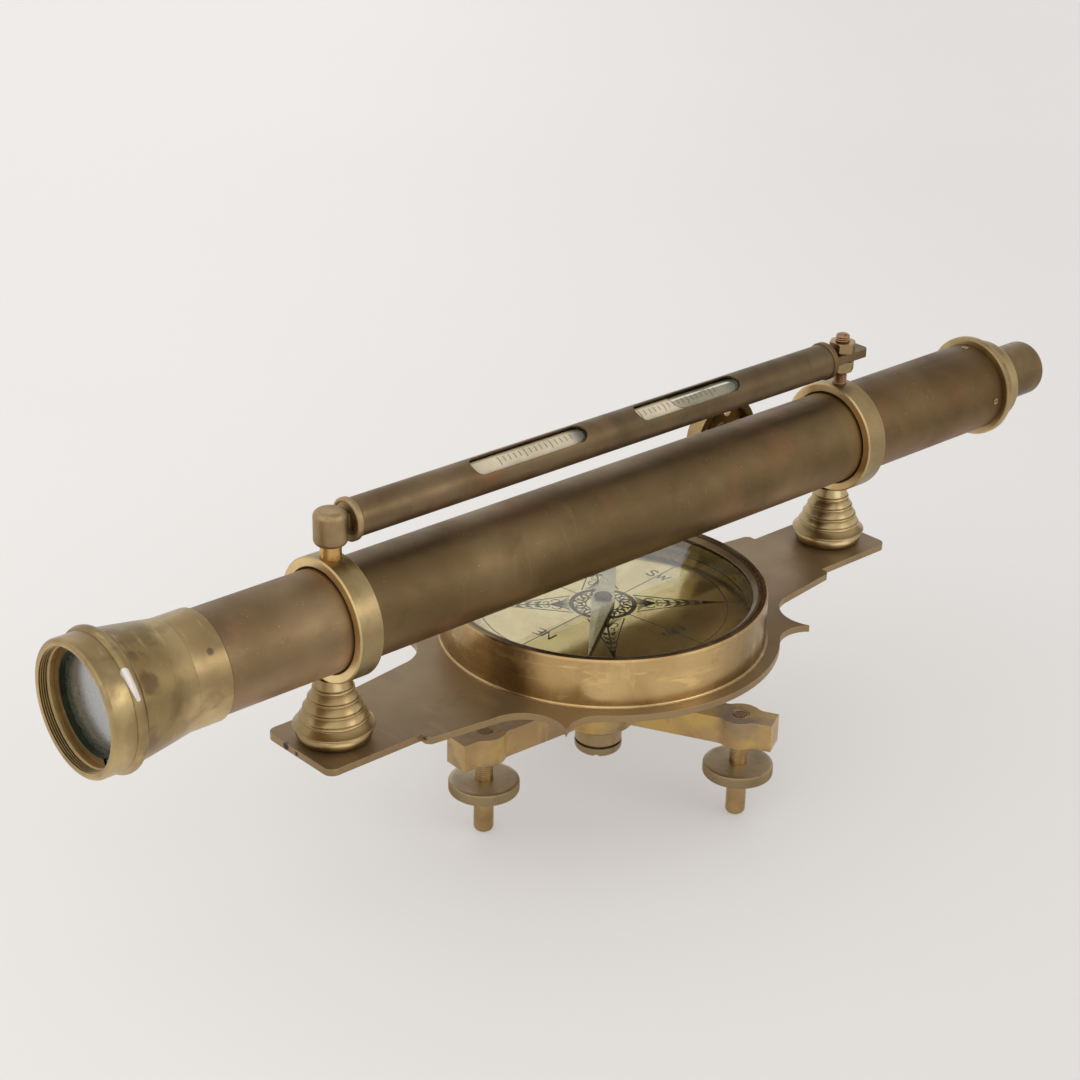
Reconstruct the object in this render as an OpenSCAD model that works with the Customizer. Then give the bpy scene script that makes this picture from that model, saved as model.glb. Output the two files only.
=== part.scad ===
// Brass surveying level: telescope and spirit level on a compass plate, with a three-screw base.
// The ground is z = 0, the vertical axis is x = y = 0, and +X runs along the telescope to the eyepiece.

/* [Heights] */
// Top face of the base plate above the ground
plate_top = 64; // [60:0.5:80]
// Telescope axis above the base plate
tube_rise = 44; // [42:0.5:60]
// Spirit level axis above the telescope axis
level_rise = 32.4; // [31:0.2:45]

/* [Base plate] */
// Length of the base plate
plate_len = 272; // [268:1:300]
// Width of the two plate arms
arm_w = 35; // [30:0.5:40]
// Thickness of the base plate
plate_t = 2.5; // [2:0.1:4]
// Round of the plate's end corners
end_round = 3.5; // [1:0.5:8]
// Ledge of the plate round the compass bowl
lip_w = 5.3; // [4:0.1:7]
// Distance between the small steps where the arms widen
shoulder_len = 197; // [190:1:210]
// Width of the plate just inside those steps
shoulder_w = 43; // [40:0.5:44]
// Reach of each pointed cusp beyond the round middle
cusp_out = 11.9; // [10:0.1:13]
// Direction of the cusp, from the telescope's axis
cusp_turn = 37.8; // [35:0.2:40]
// Radius of the hollow edge between the arm and the cusp
flare_r = 14.5; // [13:0.5:16]
// Direction from the cusp to the centre of that hollow edge
flare_dir = -30; // [-40:1:-25]
// Radius of the hollow edge between the cusp and the round middle
scoop_r = 12.5; // [11:0.5:14]

/* [Compass] */
// Outer radius of the compass bowl
bowl_r = 58.7; // [57:0.1:60]
// Height of the bowl above the plate
bowl_h = 17.9; // [16:0.1:20]
// Wall of the bowl at its rim
bowl_wall = 2.7; // [2:0.1:3.2]
// Step of each inner ledge of the bowl
ledge_w = 1.9; // [1.5:0.1:2.5]
// Thickness of the bowl's floor
bowl_floor = 2; // [1.5:0.1:3]
// Top of the dial above the plate
dial_rise = 10; // [9:0.1:11]
// Thickness of the dial
dial_t = 1; // [0.8:0.1:1.5]
// Thickness of the cover glass
glass_t = 1.5; // [1:0.1:2]
// Height of the bezel ring that holds the glass
bezel_h = 1.8; // [1.5:0.1:2.2]
// Length of the needle
needle_len = 88; // [70:1:92]
// Width of the needle
needle_w = 8.4; // [5:0.1:10]
// Direction the needle points to, about the vertical axis
needle_heading = -140; // [-180:1:180]

/* [Pillars and collars] */
// Distance between the two pillars
pillar_span = 242; // [236:1:246]
// Radius of a pillar's rounded foot
pillar_foot_r = 11.9; // [10:0.1:12.5]
// Height of that foot
pillar_foot_h = 4.9; // [4:0.1:5.2]
// Widest radius of a pillar, at the flange above the foot
pillar_flange_r = 13.8; // [13:0.1:15]
// Height of that flange
pillar_flange_h = 2.9; // [2:0.1:3]
// Number of turned rings above the flange
pillar_rings = 3; // [2:1:3]
// Height of each ring
pillar_ring_h = 3.7; // [3:0.1:3.8]
// Radius at the bottom of the lowest ring
pillar_ring_r = 11.6; // [10:0.1:12]
// Radius at the bottom of the neck
pillar_neck_r = 7.2; // [6:0.1:8]
// Radius at the top of the neck
pillar_top_r = 5.3; // [5:0.1:6]
// Outer radius of a collar
collar_r = 21.4; // [20:0.1:23]
// Width of a collar
collar_w = 9.5; // [8:0.1:11]

/* [Telescope] */
// Outside diameter of the main tube
tube_d = 35; // [34:0.1:36]
// Wall of the main tube
tube_wall = 1.2; // [1:0.1:1.4]
// Front rim of the objective, ahead of the vertical axis
front_reach = 217; // [210:1:230]
// Front face of the rear flange, behind the vertical axis
rear_reach = 201.5; // [198:0.5:215]
// Outside diameter of the front cell
cell_d = 44.6; // [44:0.1:46]
// Length of the front cell that shows
cell_len = 7.7; // [7:0.1:10]
// Outside diameter of the bead behind the cell
bead_d = 47.2; // [46.6:0.1:50]
// Width of the bead
bead_w = 4.4; // [3:0.1:6]
// Length of the bell between the bead and its sleeve
bell_len = 20.5; // [16:0.5:26]
// Length of the bell's sleeve on the tube
sleeve_len = 12.5; // [10:0.5:20]
// Wall of the bell's sleeve
sleeve_wall = 1; // [0.8:0.1:1.5]
// Diameter of the thread in the front rim
shade_thread_d = 39.6; // [38.8:0.1:40.2]
// Depth of that thread
shade_thread_len = 5; // [4:0.1:6]
// Diameter of the objective lens
lens_d = 38.4; // [37:0.1:38.6]
// Clear opening of the objective
clear_d = 34; // [30:0.5:35]
// Diameter of the rear flange
flange_d = 40.2; // [38:0.1:44]
// Thickness of the rear flange
flange_t = 3.3; // [2.5:0.1:5]

/* [Focusing] */
// Outside diameter of the draw tube
draw_d = 24; // [23:0.1:24.6]
// Wall of the draw tube
draw_wall = 1; // [0.8:0.1:1.2]
// How far the draw tube runs out
draw_travel = 30; // [20:1:32]
// Place of the focusing wheel along the tube
wheel_x = 86; // [80:0.5:92]
// Diameter of the focusing wheel
wheel_d = 31.6; // [26:0.2:36]
// Width of the wheel's rim
wheel_w = 6.5; // [5:0.1:9]
// Distance of the wheel's inner face from the telescope axis
wheel_y = 24; // [23.5:0.1:30]
// Radius of the circle of holes in the wheel
wheel_hole_circle = 9.5; // [9:0.1:10]
// Diameter of those holes
wheel_hole_d = 3.6; // [2:0.1:4]
// Size of the gear teeth
tooth_module = 0.5; // [0.45:0.01:0.52]
// Number of teeth on the pinion
pinion_teeth = 12; // [12:1:13]
// Diameter of the pinion shaft
shaft_d = 4; // [3:0.1:4.4]

/* [Eyepiece] */
// Diameter of the eyepiece mount
mount_d = 33.4; // [30:0.1:36]
// Length of the eyepiece mount
mount_len = 8.6; // [7:0.1:12]
// Diameter of the eyepiece
eyepiece_d = 22; // [21.6:0.1:24]
// Length of the eyepiece that shows
eyepiece_len = 24; // [18:0.5:32]
// Diameter of the hole that the eye looks through
eye_hole_d = 8; // [5:0.1:12]

/* [Spirit level] */
// Diameter of the level tube
level_d = 13.1; // [12.4:0.1:14]
// Wall of the level tube
level_wall = 1; // [0.8:0.1:1.2]
// Turn of the windows about the level's axis
level_roll = 27; // [0:1:40]
// Length of a window
window_len = 51; // [40:0.5:56]
// Width of a window
window_w = 7.7; // [6:0.1:8.6]
// Place of the front window's middle
front_window_x = -39.5; // [-45:0.5:-37]
// Place of the rear window's middle
rear_window_x = 35.5; // [33:0.5:42]
// Diameter of the front cap of the level
front_cap_d = 14.7; // [14:0.1:18]
// Diameter of the rear cap of the level
rear_cap_d = 14.3; // [14:0.1:17]
// Diameter of the stud at the rear
stud_d = 5.3; // [4:0.1:5.4]
// Distance across the flats of the adjusting nuts
nut_flats = 8.9; // [7.6:0.1:9]
// Thickness of an adjusting nut
nut_h = 4; // [3:0.1:4.4]
// Thickness of the lug between the nuts
lug_t = 3.3; // [2.5:0.1:4]
// Width of that lug
lug_w = 8.6; // [7:0.1:10]
// Diameter of the post's cap
cap_d = 11.2; // [10:0.1:12]
// Height of the post's cap
cap_h = 11.8; // [11:0.1:12.5]
// Diameter of the post's neck
post_d = 7.1; // [6.4:0.1:7.6]

/* [Base] */
// Circle through the three feet
foot_circle_d = 106.8; // [100:0.2:112]
// Direction of the first arm
tribrach_turn = 177.4; // [0:0.2:360]
// Top of the arms above the ground
arm_top = 40.5; // [39:0.1:42]
// Depth of the arms
arm_depth = 10.4; // [8:0.1:11]
// Width of the arms
tribrach_arm_w = 11; // [9:0.1:12]
// Radius of the boss round each levelling screw
boss_r = 7.7; // [7:0.1:9]
// Width of the block at the end of each arm
block_w = 9.8; // [8:0.1:11]
// Length of that block beyond the levelling screw
block_len = 12.8; // [10:0.2:16]
// Radius of the hub
hub_r = 13.5; // [12:0.1:15]
// Depth of the hub
hub_depth = 13.9; // [12:0.1:15]
// Radius of the nose below the hub
nose_r = 8.6; // [7.8:0.1:9]
// Length of the nose
nose_len = 6.7; // [5:0.1:7.5]
// Diameter of the spindle in the hub
spindle_d = 12; // [10:0.1:13]
// Diameter of the levelling screws
screw_d = 6.4; // [5.6:0.1:7]
// Diameter of the knurled heads
head_d = 25.4; // [22:0.2:30]
// Thickness of the knurled heads
head_t = 4.4; // [3:0.1:6]
// Underside of the knurled heads above the ground
head_rise = 16.6; // [14:0.1:18]
// Diameter of the feet
foot_d = 7.2; // [6:0.1:9]
// Diameter of the screw head under the nose
centre_head_d = 17.4; // [15:0.1:18]
// Thickness of that head
centre_head_t = 3.8; // [3:0.1:4]

/* [Fits] */
// Clearance on the radius of what turns or slides in a hole
run_clear = 0.05; // [0.03:0.01:0.08]
// Clearance on the radius of what is held fast in a hole
hold_clear = 0.03; // [0.02:0.01:0.05]
// Gap between faces that move past each other
face_gap = 0.3; // [0.2:0.05:0.4]

/* [Hidden] */
$fn = 96;

// Colours
plate_brass = [0.50, 0.42, 0.29];
tube_brass = [0.40, 0.32, 0.21];
cell_brass = [0.57, 0.48, 0.29];
gold_brass = [0.70, 0.56, 0.31];
base_brass = [0.62, 0.51, 0.29];
copper = [0.66, 0.41, 0.24];
dial_yellow = [0.72, 0.66, 0.45];
dark_steel = [0.16, 0.16, 0.17];
glass_green = [0.70, 0.80, 0.76, 0.35];
cream = [0.86, 0.83, 0.72];

// Levels along the vertical axis
plate_bottom = plate_top - plate_t;
tube_z = plate_top + tube_rise;
level_z = tube_z + level_rise;
arm_bottom = arm_top - arm_depth;
hub_bottom = arm_top - hub_depth;
nose_bottom = hub_bottom - nose_len;

// Base plate outline
lip_r = bowl_r + lip_w;
cusp = (lip_r + cusp_out) * [cos(cusp_turn), sin(cusp_turn)];
shoulder = [shoulder_len / 2, shoulder_w / 2];
shoulder_round = 1.5;
bite = 0.05;
scoop_dist = lip_r + scoop_r - bite;
scoop_cos = (cusp * cusp + scoop_dist ^ 2 - scoop_r ^ 2) / (2 * norm(cusp) * scoop_dist);
scoop_turn = cusp_turn + acos(scoop_cos);
scoop_dir = [cos(scoop_turn), sin(scoop_turn)];
scoop_c = scoop_dist * scoop_dir;
flare_c = cusp + flare_r * [cos(flare_dir), sin(flare_dir)];
flare_to = shoulder - flare_c;
flare_turn = atan2(flare_to.y, flare_to.x) - acos((flare_r - bite) / norm(flare_to));
flare_touch = flare_c + (flare_r - bite) * [cos(flare_turn), sin(flare_turn)];
cusp_blunt = 0.4;
cusp_sides = [(flare_c - cusp) / flare_r, (scoop_c - cusp) / scoop_r];
cusp_in = -(cusp_sides[0] + cusp_sides[1]) / norm(cusp_sides[0] + cusp_sides[1]);

// Screws that hold the compass, the plate and the spindle together
flange_screw_circle_r = 17;
compass_screw_r = 2;
compass_screw_head_r = 3.6;
compass_screw_head_h = 2;
spindle_flange_r = 24;
spindle_flange_t = 4;
pillar_screw_r = 2.5;
pillar_screw_head_r = 4.6;
pillar_screw_head_h = 3;
pillar_screw_depth = 12;
slot_w = 1.1;

// Compass insides, measured from the plate's top face
bowl_in_r = bowl_r - bowl_wall;
glass_ledge_r = bowl_in_r - ledge_w;
dial_ledge_r = glass_ledge_r - ledge_w;
bezel_drop = 0.3;
glass_top = bowl_h - bezel_drop - bezel_h;
glass_bottom = glass_top - glass_t;
pivot_r = 1.5;
pivot_tip = dial_rise + 2.4;
needle_rise = dial_rise + 1.6;
needle_ridge = 1.3;
needle_edge = 0.5;
needle_cap_r = 3.3;

// Pillars and collars
pillar_x = pillar_span / 2;
tube_r = tube_d / 2;
tube_in_r = tube_r - tube_wall;
collar_bore = tube_r + hold_clear;
collar_ring = collar_r - collar_bore;
spigot_r = 2.4;
flange_rim = 0.9;
rings_bottom = pillar_foot_h + pillar_flange_h;
neck_bottom = rings_bottom + pillar_rings * pillar_ring_h;
neck_top = tube_rise - collar_r + 1.5;

// Objective, measured along X
front_x = -front_reach;
cell_back = front_x + cell_len;
bead_back = cell_back + bead_w;
sleeve_front = bead_back + bell_len;
sleeve_back = sleeve_front + sleeve_len;
sleeve_r = tube_r + sleeve_wall;
cell_spigot_len = 6;
cell_spigot_r = shade_thread_d / 2 + 1;
cell_spigot_end = cell_back + cell_spigot_len;
thread_end = front_x + shade_thread_len;
lens_bore_r = lens_d / 2 + hold_clear;
lens_edge = 2.6;
lens_seat = cell_spigot_end - 2.7;
lens_back = lens_seat - 0.35;
lens_front = lens_back - lens_edge;
retainer_back = lens_front - 0.35;
tube_front = cell_spigot_end + 4;

// Rear end, measured along X
flange_back = rear_reach + flange_t;
flange_spigot_len = 12;
flange_screw_x = rear_reach - 4.5;
flange_screw_r = 0.9;
flange_screw_head_r = 1.3;
flange_screw_proud = 0.25;
draw_r = draw_d / 2;
draw_in_r = draw_r - draw_wall;
draw_back = flange_back + 3;
mount_front = flange_back + face_gap;
mount_back = mount_front + mount_len;
eyepiece_r = eyepiece_d / 2;
eyepiece_front = mount_back + face_gap;
eyepiece_back = eyepiece_front + eyepiece_len;
eyepiece_round = 3;
eyepiece_wall = 1.2;
eyepiece_spigot_r = draw_in_r - 0.5;
eyepiece_spigot_len = 18;
eyepiece_bore = eyepiece_spigot_r - eyepiece_wall;

// Rack and pinion
pitch_r = tooth_module * pinion_teeth / 2;
base_r = pitch_r * cos(20);
tooth_pitch = PI * tooth_module;
backlash = 0.12;
pinion_addendum = 0.8 * tooth_module;
pinion_dedendum = 1.25 * tooth_module;
rack_addendum = 0.6 * tooth_module;
rack_dedendum = 1.1 * tooth_module;
rack_back = 2.9;
rack_teeth = ceil(draw_travel / tooth_pitch) + 5;
rack_front_tooth = rack_teeth - 3;
pinion_in = draw_r + face_gap;
pinion_w = 2.6;
shaft_r = shaft_d / 2;
bush_r = 4;
bush_barrel_r = 4.9;
bush_flange_r = 9;
bush_flange_y = tube_r + 2.2;
bush_screw_x = 6.9;
bush_screw_head_r = 1.6;
bush_screw_r = 1.2;
bush_end = wheel_y - face_gap;
wheel_r = wheel_d / 2;
wheel_rim = 2.9;
wheel_web = 2;
wheel_web_in = 3;
wheel_hub_r = 5;
wheel_back = wheel_y + wheel_w;
wheel_screw_head_r = 3.2;
wheel_screw_head_h = 1.8;
draw_guide_len = 5;
rack_front = wheel_x - (rack_front_tooth + 0.5) * tooth_pitch;
draw_front = rack_front - draw_guide_len - 6;
reticle_x = rear_reach - flange_spigot_len - 4;

// Spirit level, measured along X and from the level's axis
level_r = level_d / 2;
level_in_r = level_r - level_wall;
cap_r = cap_d / 2;
cap_bottom = level_z - 6.5;
cap_top = cap_bottom + cap_h;
front_cap_len = 2.7;
front_cap_x = -pillar_x + cap_r + face_gap;
level_front = front_cap_x + front_cap_len;
rear_cap_len = 2.5;
lug_reach = 8.9;
rear_cap_x = pillar_x - lug_reach;
level_back = rear_cap_x - rear_cap_len;
cap_spigot_len = 7;
tongue_t = 3;
tongue_r = 2.4;
pivot_pin_r = 1.2;
stud_r = stud_d / 2;
stud_top = level_z + lug_t / 2 + nut_h + 3.2;
lug_hole_r = stud_r + face_gap;
lug_end = pillar_x + 10.5;
nut_gap = 0.1;
nut_bore = stud_r + 0.1;
bed_t = 0.45;
vial_r = level_in_r - bed_t;
vial_len = window_len + 10;
vial_nose = 2.5;

// Base
foot_at = foot_circle_d / 2;
foot_r = foot_d / 2;
foot_round = 1.9;
boss_fillet_r = 5;
foot_pin_r = 2;
foot_pin_len = 5.5;
screw_r = screw_d / 2;
head_r = head_d / 2;
head_top = head_rise + head_t;
spindle_r = spindle_d / 2;
spindle_collar_r = hub_r - 0.5;
spindle_collar_h = 4;
spindle_waist_r = 10.5;
washer_t = 0.8;
washer_r = nose_r - 0.9;
centre_screw_r = 3;
centre_screw_len = 22;
centre_slot_w = 1.7;
centre_slot_d = 1.4;
washer_top = nose_bottom - face_gap;
centre_head_top = washer_top - washer_t;

// Points of a rounded corner about a centre, from one direction to another
function corner(c, r, from, to, steps = 6) = [
    for (i = [0:steps])
        let (a = from + (to - from) * i / steps)
        c + r * [cos(a), sin(a)]
];

// Turned ring that bulges outwards between two radii
function bulge(z0, z1, r0, r1, out, steps = 6) = [
    for (i = [0:steps])
        let (t = i / steps)
        [r0 + (r1 - r0) * t + out * sin(180 * t), z0 + (z1 - z0) * t]
];

// Involute function, in degrees
function involute(r) =
    let (a = acos(min(1, base_r / r)))
    tan(a) * 180 / PI - a;

// Half the angle that a pinion tooth fills at a radius
function tooth_half(r) =
    90 / pinion_teeth - backlash / 2 / pitch_r * 180 / PI + involute(pitch_r) - involute(max(r, base_r));

// Outline of the pinion, one tooth pointing along the first axis
function pinion_outline() =
    let (
        tip = pitch_r + pinion_addendum,
        root = pitch_r - pinion_dedendum,
        radii = [root, base_r, (base_r + pitch_r) / 2, pitch_r, (pitch_r + tip) / 2, tip],
        last = len(radii) - 1
    )
    [
        for (k = [0:pinion_teeth - 1])
            for (i = [0:2 * last + 1])
                let (
                    r = radii[i <= last ? i : 2 * last + 1 - i],
                    side = i <= last ? -1 : 1,
                    a = 360 * k / pinion_teeth + side * tooth_half(r)
                )
                r * [cos(a), sin(a)]
    ];

// Outline of the rack along X, with its pitch line at zero and its teeth pointing down
function rack_outline() =
    let (
        half = tooth_pitch / 4 - backlash / 2,
        foot = half + rack_dedendum * tan(20),
        tip = half - rack_addendum * tan(20)
    )
    concat(
        [
            for (k = [0:rack_teeth - 1])
                let (x = (k - rack_front_tooth) * tooth_pitch)
                each [[x - foot, rack_dedendum], [x - tip, -rack_addendum],
                      [x + tip, -rack_addendum], [x + foot, rack_dedendum]]
        ],
        [
            [(rack_teeth - rack_front_tooth) * tooth_pitch, rack_dedendum],
            [(rack_teeth - rack_front_tooth) * tooth_pitch, rack_back],
            [-(rack_front_tooth + 1) * tooth_pitch, rack_back],
            [-(rack_front_tooth + 1) * tooth_pitch, rack_dedendum]
        ]
    );

// Round bar along X, about the height z
module bar_x(x0, x1, r, z) {
    translate([x0, 0, z])
        rotate([0, 90, 0])
            cylinder(h = x1 - x0, r = r);
}

// Round bar along Y, at the place x and the height z
module bar_y(y0, y1, r, x, z) {
    translate([x, y0, z])
        rotate([-90, 0, 0])
            cylinder(h = y1 - y0, r = r);
}

// Round bar along Z
module bar_z(z0, z1, r, x = 0, y = 0) {
    translate([x, y, z0])
        cylinder(h = z1 - z0, r = r);
}

// Piece turned about a line along X, from points of radius and place
module turned_x(points, z) {
    translate([0, 0, z])
        rotate([0, 90, 0])
            rotate_extrude()
                polygon(points);
}

// Piece turned about a line along Y, from points of radius and place
module turned_y(points, x, z) {
    translate([x, 0, z])
        rotate([-90, 0, 0])
            rotate_extrude()
                polygon(points);
}

// Piece turned about a line along Z, from points of radius and height
module turned_z(points, x = 0, y = 0) {
    translate([x, y, 0])
        rotate_extrude()
            polygon(points);
}

// Hole pattern of the screws under the compass
module compass_screw_places() {
    for (a = [90, 210, 330])
        translate(flange_screw_circle_r * [cos(a), sin(a)])
            children();
}

// Copies a shape to the three feet
module at_foot(n) {
    a = tribrach_turn + 120 * (n - 1);
    translate([foot_at * cos(a), foot_at * sin(a), 0])
        children();
}

// Hollow curves between the boss and a bar of the given half width, on one side of the boss
module boss_fillets(half_w, side) {
    reach = boss_r + boss_fillet_r - bite;
    rise = half_w + boss_fillet_r - bite;
    c = [side * sqrt(reach ^ 2 - rise ^ 2), rise];
    for (m = [0, 1])
        mirror([0, m, 0])
            difference() {
                polygon([[0, 0], [c.x, 0], [c.x, half_w - bite / 2], c * (boss_r - bite / 2) / reach]);
                translate(c)
                    circle(r = boss_fillet_r);
            }
}

// One arm seen from above, along X from the vertical axis
module arm_outline() {
    translate([0, -tribrach_arm_w / 2])
        square([foot_at, tribrach_arm_w]);
    translate([foot_at, 0]) {
        circle(r = boss_r);
        boss_fillets(tribrach_arm_w / 2, -1);
        boss_fillets(block_w / 2, 1);
    }
    translate([foot_at, -block_w / 2])
        square([block_len, block_w]);
}

// The hub and the three arms seen from above
module tribrach_outline() {
    circle(r = hub_r);
    for (n = [0:2])
        rotate(tribrach_turn + 120 * n)
            arm_outline();
}

// Three-armed base with the bearing for the spindle
module tribrach() {
    hub_edge = 0.8;
    color(base_brass)
        difference() {
            union() {
                translate([0, 0, arm_bottom])
                    linear_extrude(arm_depth)
                        tribrach_outline();
                turned_z([
                    [0, nose_bottom], [nose_r, nose_bottom], [nose_r, hub_bottom],
                    [hub_r - 2 * hub_edge, hub_bottom], [hub_r - hub_edge, hub_bottom + hub_edge],
                    [hub_r - hub_edge, arm_bottom + 1], [0, arm_bottom + 1]
                ]);
            }
            bar_z(nose_bottom - 1, arm_top + 1, spindle_r + run_clear);
            for (n = [1:3])
                at_foot(n)
                    bar_z(arm_bottom - 1, arm_top + 1, screw_r + run_clear);
        }
}

// Round-ended foot that stands under a levelling screw
module foot(n) {
    color(base_brass)
        at_foot(n)
            difference() {
                turned_z(concat(
                    [[0, 0]],
                    corner([foot_r - foot_round, foot_round], foot_round, -90, 0),
                    [[foot_r, head_rise - face_gap], [0, head_rise - face_gap]]
                ));
                bar_z(head_rise - foot_pin_len - face_gap, head_rise, foot_pin_r + run_clear);
            }
}

// Levelling screw: threaded shank, flat knurled head and the pin that turns in the foot
module levelling_screw(n) {
    edge = 0.6;
    pin_bottom = head_rise - foot_pin_len;
    color(base_brass)
        at_foot(n)
            turned_z([
                [0, pin_bottom], [foot_pin_r, pin_bottom], [foot_pin_r, head_rise],
                [head_r - edge, head_rise], [head_r, head_rise + edge], [head_r, head_top - edge],
                [head_r - edge, head_top], [screw_r, head_top], [screw_r, arm_top - 0.4],
                [screw_r - 0.4, arm_top], [0, arm_top]
            ]);
}

module foot_1() { foot(1); }
module foot_2() { foot(2); }
module foot_3() { foot(3); }
module levelling_screw_1() { levelling_screw(1); }
module levelling_screw_2() { levelling_screw(2); }
module levelling_screw_3() { levelling_screw(3); }

// Spindle with the flange that carries the base plate
module spindle() {
    flange_bottom = plate_bottom - spindle_flange_t;
    collar_top = arm_top + face_gap + spindle_collar_h;
    color(base_brass)
        difference() {
            turned_z(concat(
                [[0, washer_top], [spindle_r, washer_top], [spindle_r, arm_top + face_gap],
                 [spindle_collar_r, arm_top + face_gap], [spindle_collar_r, collar_top],
                 [spindle_waist_r, collar_top + 1.5], [spindle_waist_r, flange_bottom - 4]],
                corner([spindle_waist_r + 4, flange_bottom - 4], 4, 180, 90),
                [[spindle_flange_r, flange_bottom], [spindle_flange_r, plate_bottom], [0, plate_bottom]]
            ));
            bar_z(washer_top - 1, washer_top + centre_screw_len, centre_screw_r + hold_clear);
            compass_screw_places()
                bar_z(flange_bottom - 1, plate_bottom + 1, compass_screw_r + hold_clear);
        }
}

// Washer between the spindle's end and the centre screw
module centre_washer() {
    color(base_brass)
        difference() {
            bar_z(centre_head_top, washer_top, washer_r);
            bar_z(centre_head_top - 1, washer_top + 1, centre_screw_r + hold_clear);
        }
}

// Slotted screw that holds the base on the spindle
module centre_screw() {
    head_bottom = centre_head_top - centre_head_t;
    head_edge = 2.4;
    centre_head_r = centre_head_d / 2;
    color(base_brass)
        difference() {
            turned_z(concat(
                [[0, head_bottom]],
                corner([centre_head_r - head_edge, head_bottom + head_edge], head_edge, -90, 0),
                [[centre_head_r, centre_head_top], [centre_screw_r, centre_head_top],
                 [centre_screw_r, centre_head_top + centre_screw_len - 2],
                 [0, centre_head_top + centre_screw_len - 2]]
            ));
            rotate(tribrach_turn + 45)
                translate([-centre_head_r - 1, -centre_slot_w / 2, head_bottom - 1])
                    cube([centre_head_d + 2, centre_slot_w, centre_slot_d + 1]);
        }
}

// A quarter of the plate between the arm, the cusp and the round middle
module plate_quarter() {
    difference() {
        polygon([
            [0, 0], [shoulder.x, 0], shoulder - [0, shoulder_round], shoulder - [shoulder_round, 0],
            flare_touch, cusp + cusp_blunt * (cusp_in + cusp_sides[0]),
            cusp + cusp_blunt * (cusp_in + cusp_sides[1]), (lip_r - bite / 2) * scoop_dir
        ]);
        translate(flare_c)
            circle(r = flare_r);
        translate(scoop_c)
            circle(r = scoop_r);
    }
}

// The plate seen from above
module plate_outline() {
    circle(r = lip_r);
    square([plate_len - 2 * end_round, arm_w], center = true);
    square([plate_len, arm_w - 2 * end_round], center = true);
    for (sx = [-1, 1], sy = [-1, 1])
        translate([sx * (plate_len / 2 - end_round), sy * (arm_w / 2 - end_round)])
            circle(r = end_round);
    plate_quarter();
    mirror([1, 0, 0])
        plate_quarter();
    mirror([0, 1, 0]) {
        plate_quarter();
        mirror([1, 0, 0])
            plate_quarter();
    }
}

// Base plate that carries the compass and the two pillars
module base_plate() {
    color(plate_brass)
        difference() {
            translate([0, 0, plate_bottom])
                linear_extrude(plate_t)
                    plate_outline();
            compass_screw_places()
                bar_z(plate_bottom - 1, plate_top + 1, compass_screw_r + hold_clear);
            for (s = [-1, 1])
                bar_z(plate_bottom - 1, plate_top + 1, pillar_screw_r + hold_clear, s * pillar_x);
        }
}

// Half profile of a pillar, from its foot to the neck
function pillar_profile() =
    let (
        step = (pillar_ring_r - pillar_neck_r) / pillar_rings,
        tuck = 1.1,
        groove = 0.45
    )
    concat(
        [[0, 0], [pillar_foot_r - tuck, 0]],
        bulge(0, pillar_foot_h, pillar_foot_r - tuck, pillar_foot_r - tuck, tuck),
        bulge(pillar_foot_h, pillar_foot_h + flange_rim, pillar_flange_r - 0.4, pillar_flange_r - 0.4, 0.4),
        bulge(pillar_foot_h + flange_rim + 0.1, rings_bottom, pillar_flange_r - 0.7, pillar_ring_r + 0.2, -0.3),
        [
            for (i = [0:pillar_rings - 1])
                let (z = rings_bottom + i * pillar_ring_h, r = pillar_ring_r - i * step)
                each bulge(z, z + pillar_ring_h, r, r - step + groove, groove)
        ],
        [[pillar_neck_r, neck_bottom], [pillar_top_r, neck_top], [0, neck_top]]
    );

// Turned pillar, hollowed at the top to fit the collar
module pillar(x) {
    color(gold_brass)
        difference() {
            union() {
                difference() {
                    translate([0, 0, plate_top])
                        turned_z(pillar_profile(), x);
                    bar_x(x - pillar_foot_r, x + pillar_foot_r, collar_r, tube_z);
                }
                bar_z(plate_top + neck_bottom, tube_z - collar_r + collar_ring * 0.7, spigot_r, x);
            }
            bar_z(plate_top - 1, plate_top + pillar_screw_depth, pillar_screw_r + hold_clear, x);
        }
}

module front_pillar() { pillar(-pillar_x); }
module rear_pillar() { pillar(pillar_x); }

// Slotted screws that hold the pillars from below the plate
module pillar_screws() {
    head_bottom = plate_bottom - pillar_screw_head_h;
    color(base_brass)
        for (s = [-1, 1])
            difference() {
                turned_z(concat(
                    [[0, head_bottom]],
                    corner([pillar_screw_head_r - 0.8, head_bottom + 0.8], 0.8, -90, 0),
                    [[pillar_screw_head_r, plate_bottom], [pillar_screw_r, plate_bottom],
                     [pillar_screw_r, plate_top + pillar_screw_depth - 1],
                     [0, plate_top + pillar_screw_depth - 1]]
                ), s * pillar_x);
                translate([s * pillar_x - slot_w / 2, -pillar_screw_head_r - 1, head_bottom - 1])
                    cube([slot_w, 2 * pillar_screw_head_r + 2, 2.2]);
            }
}

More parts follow.
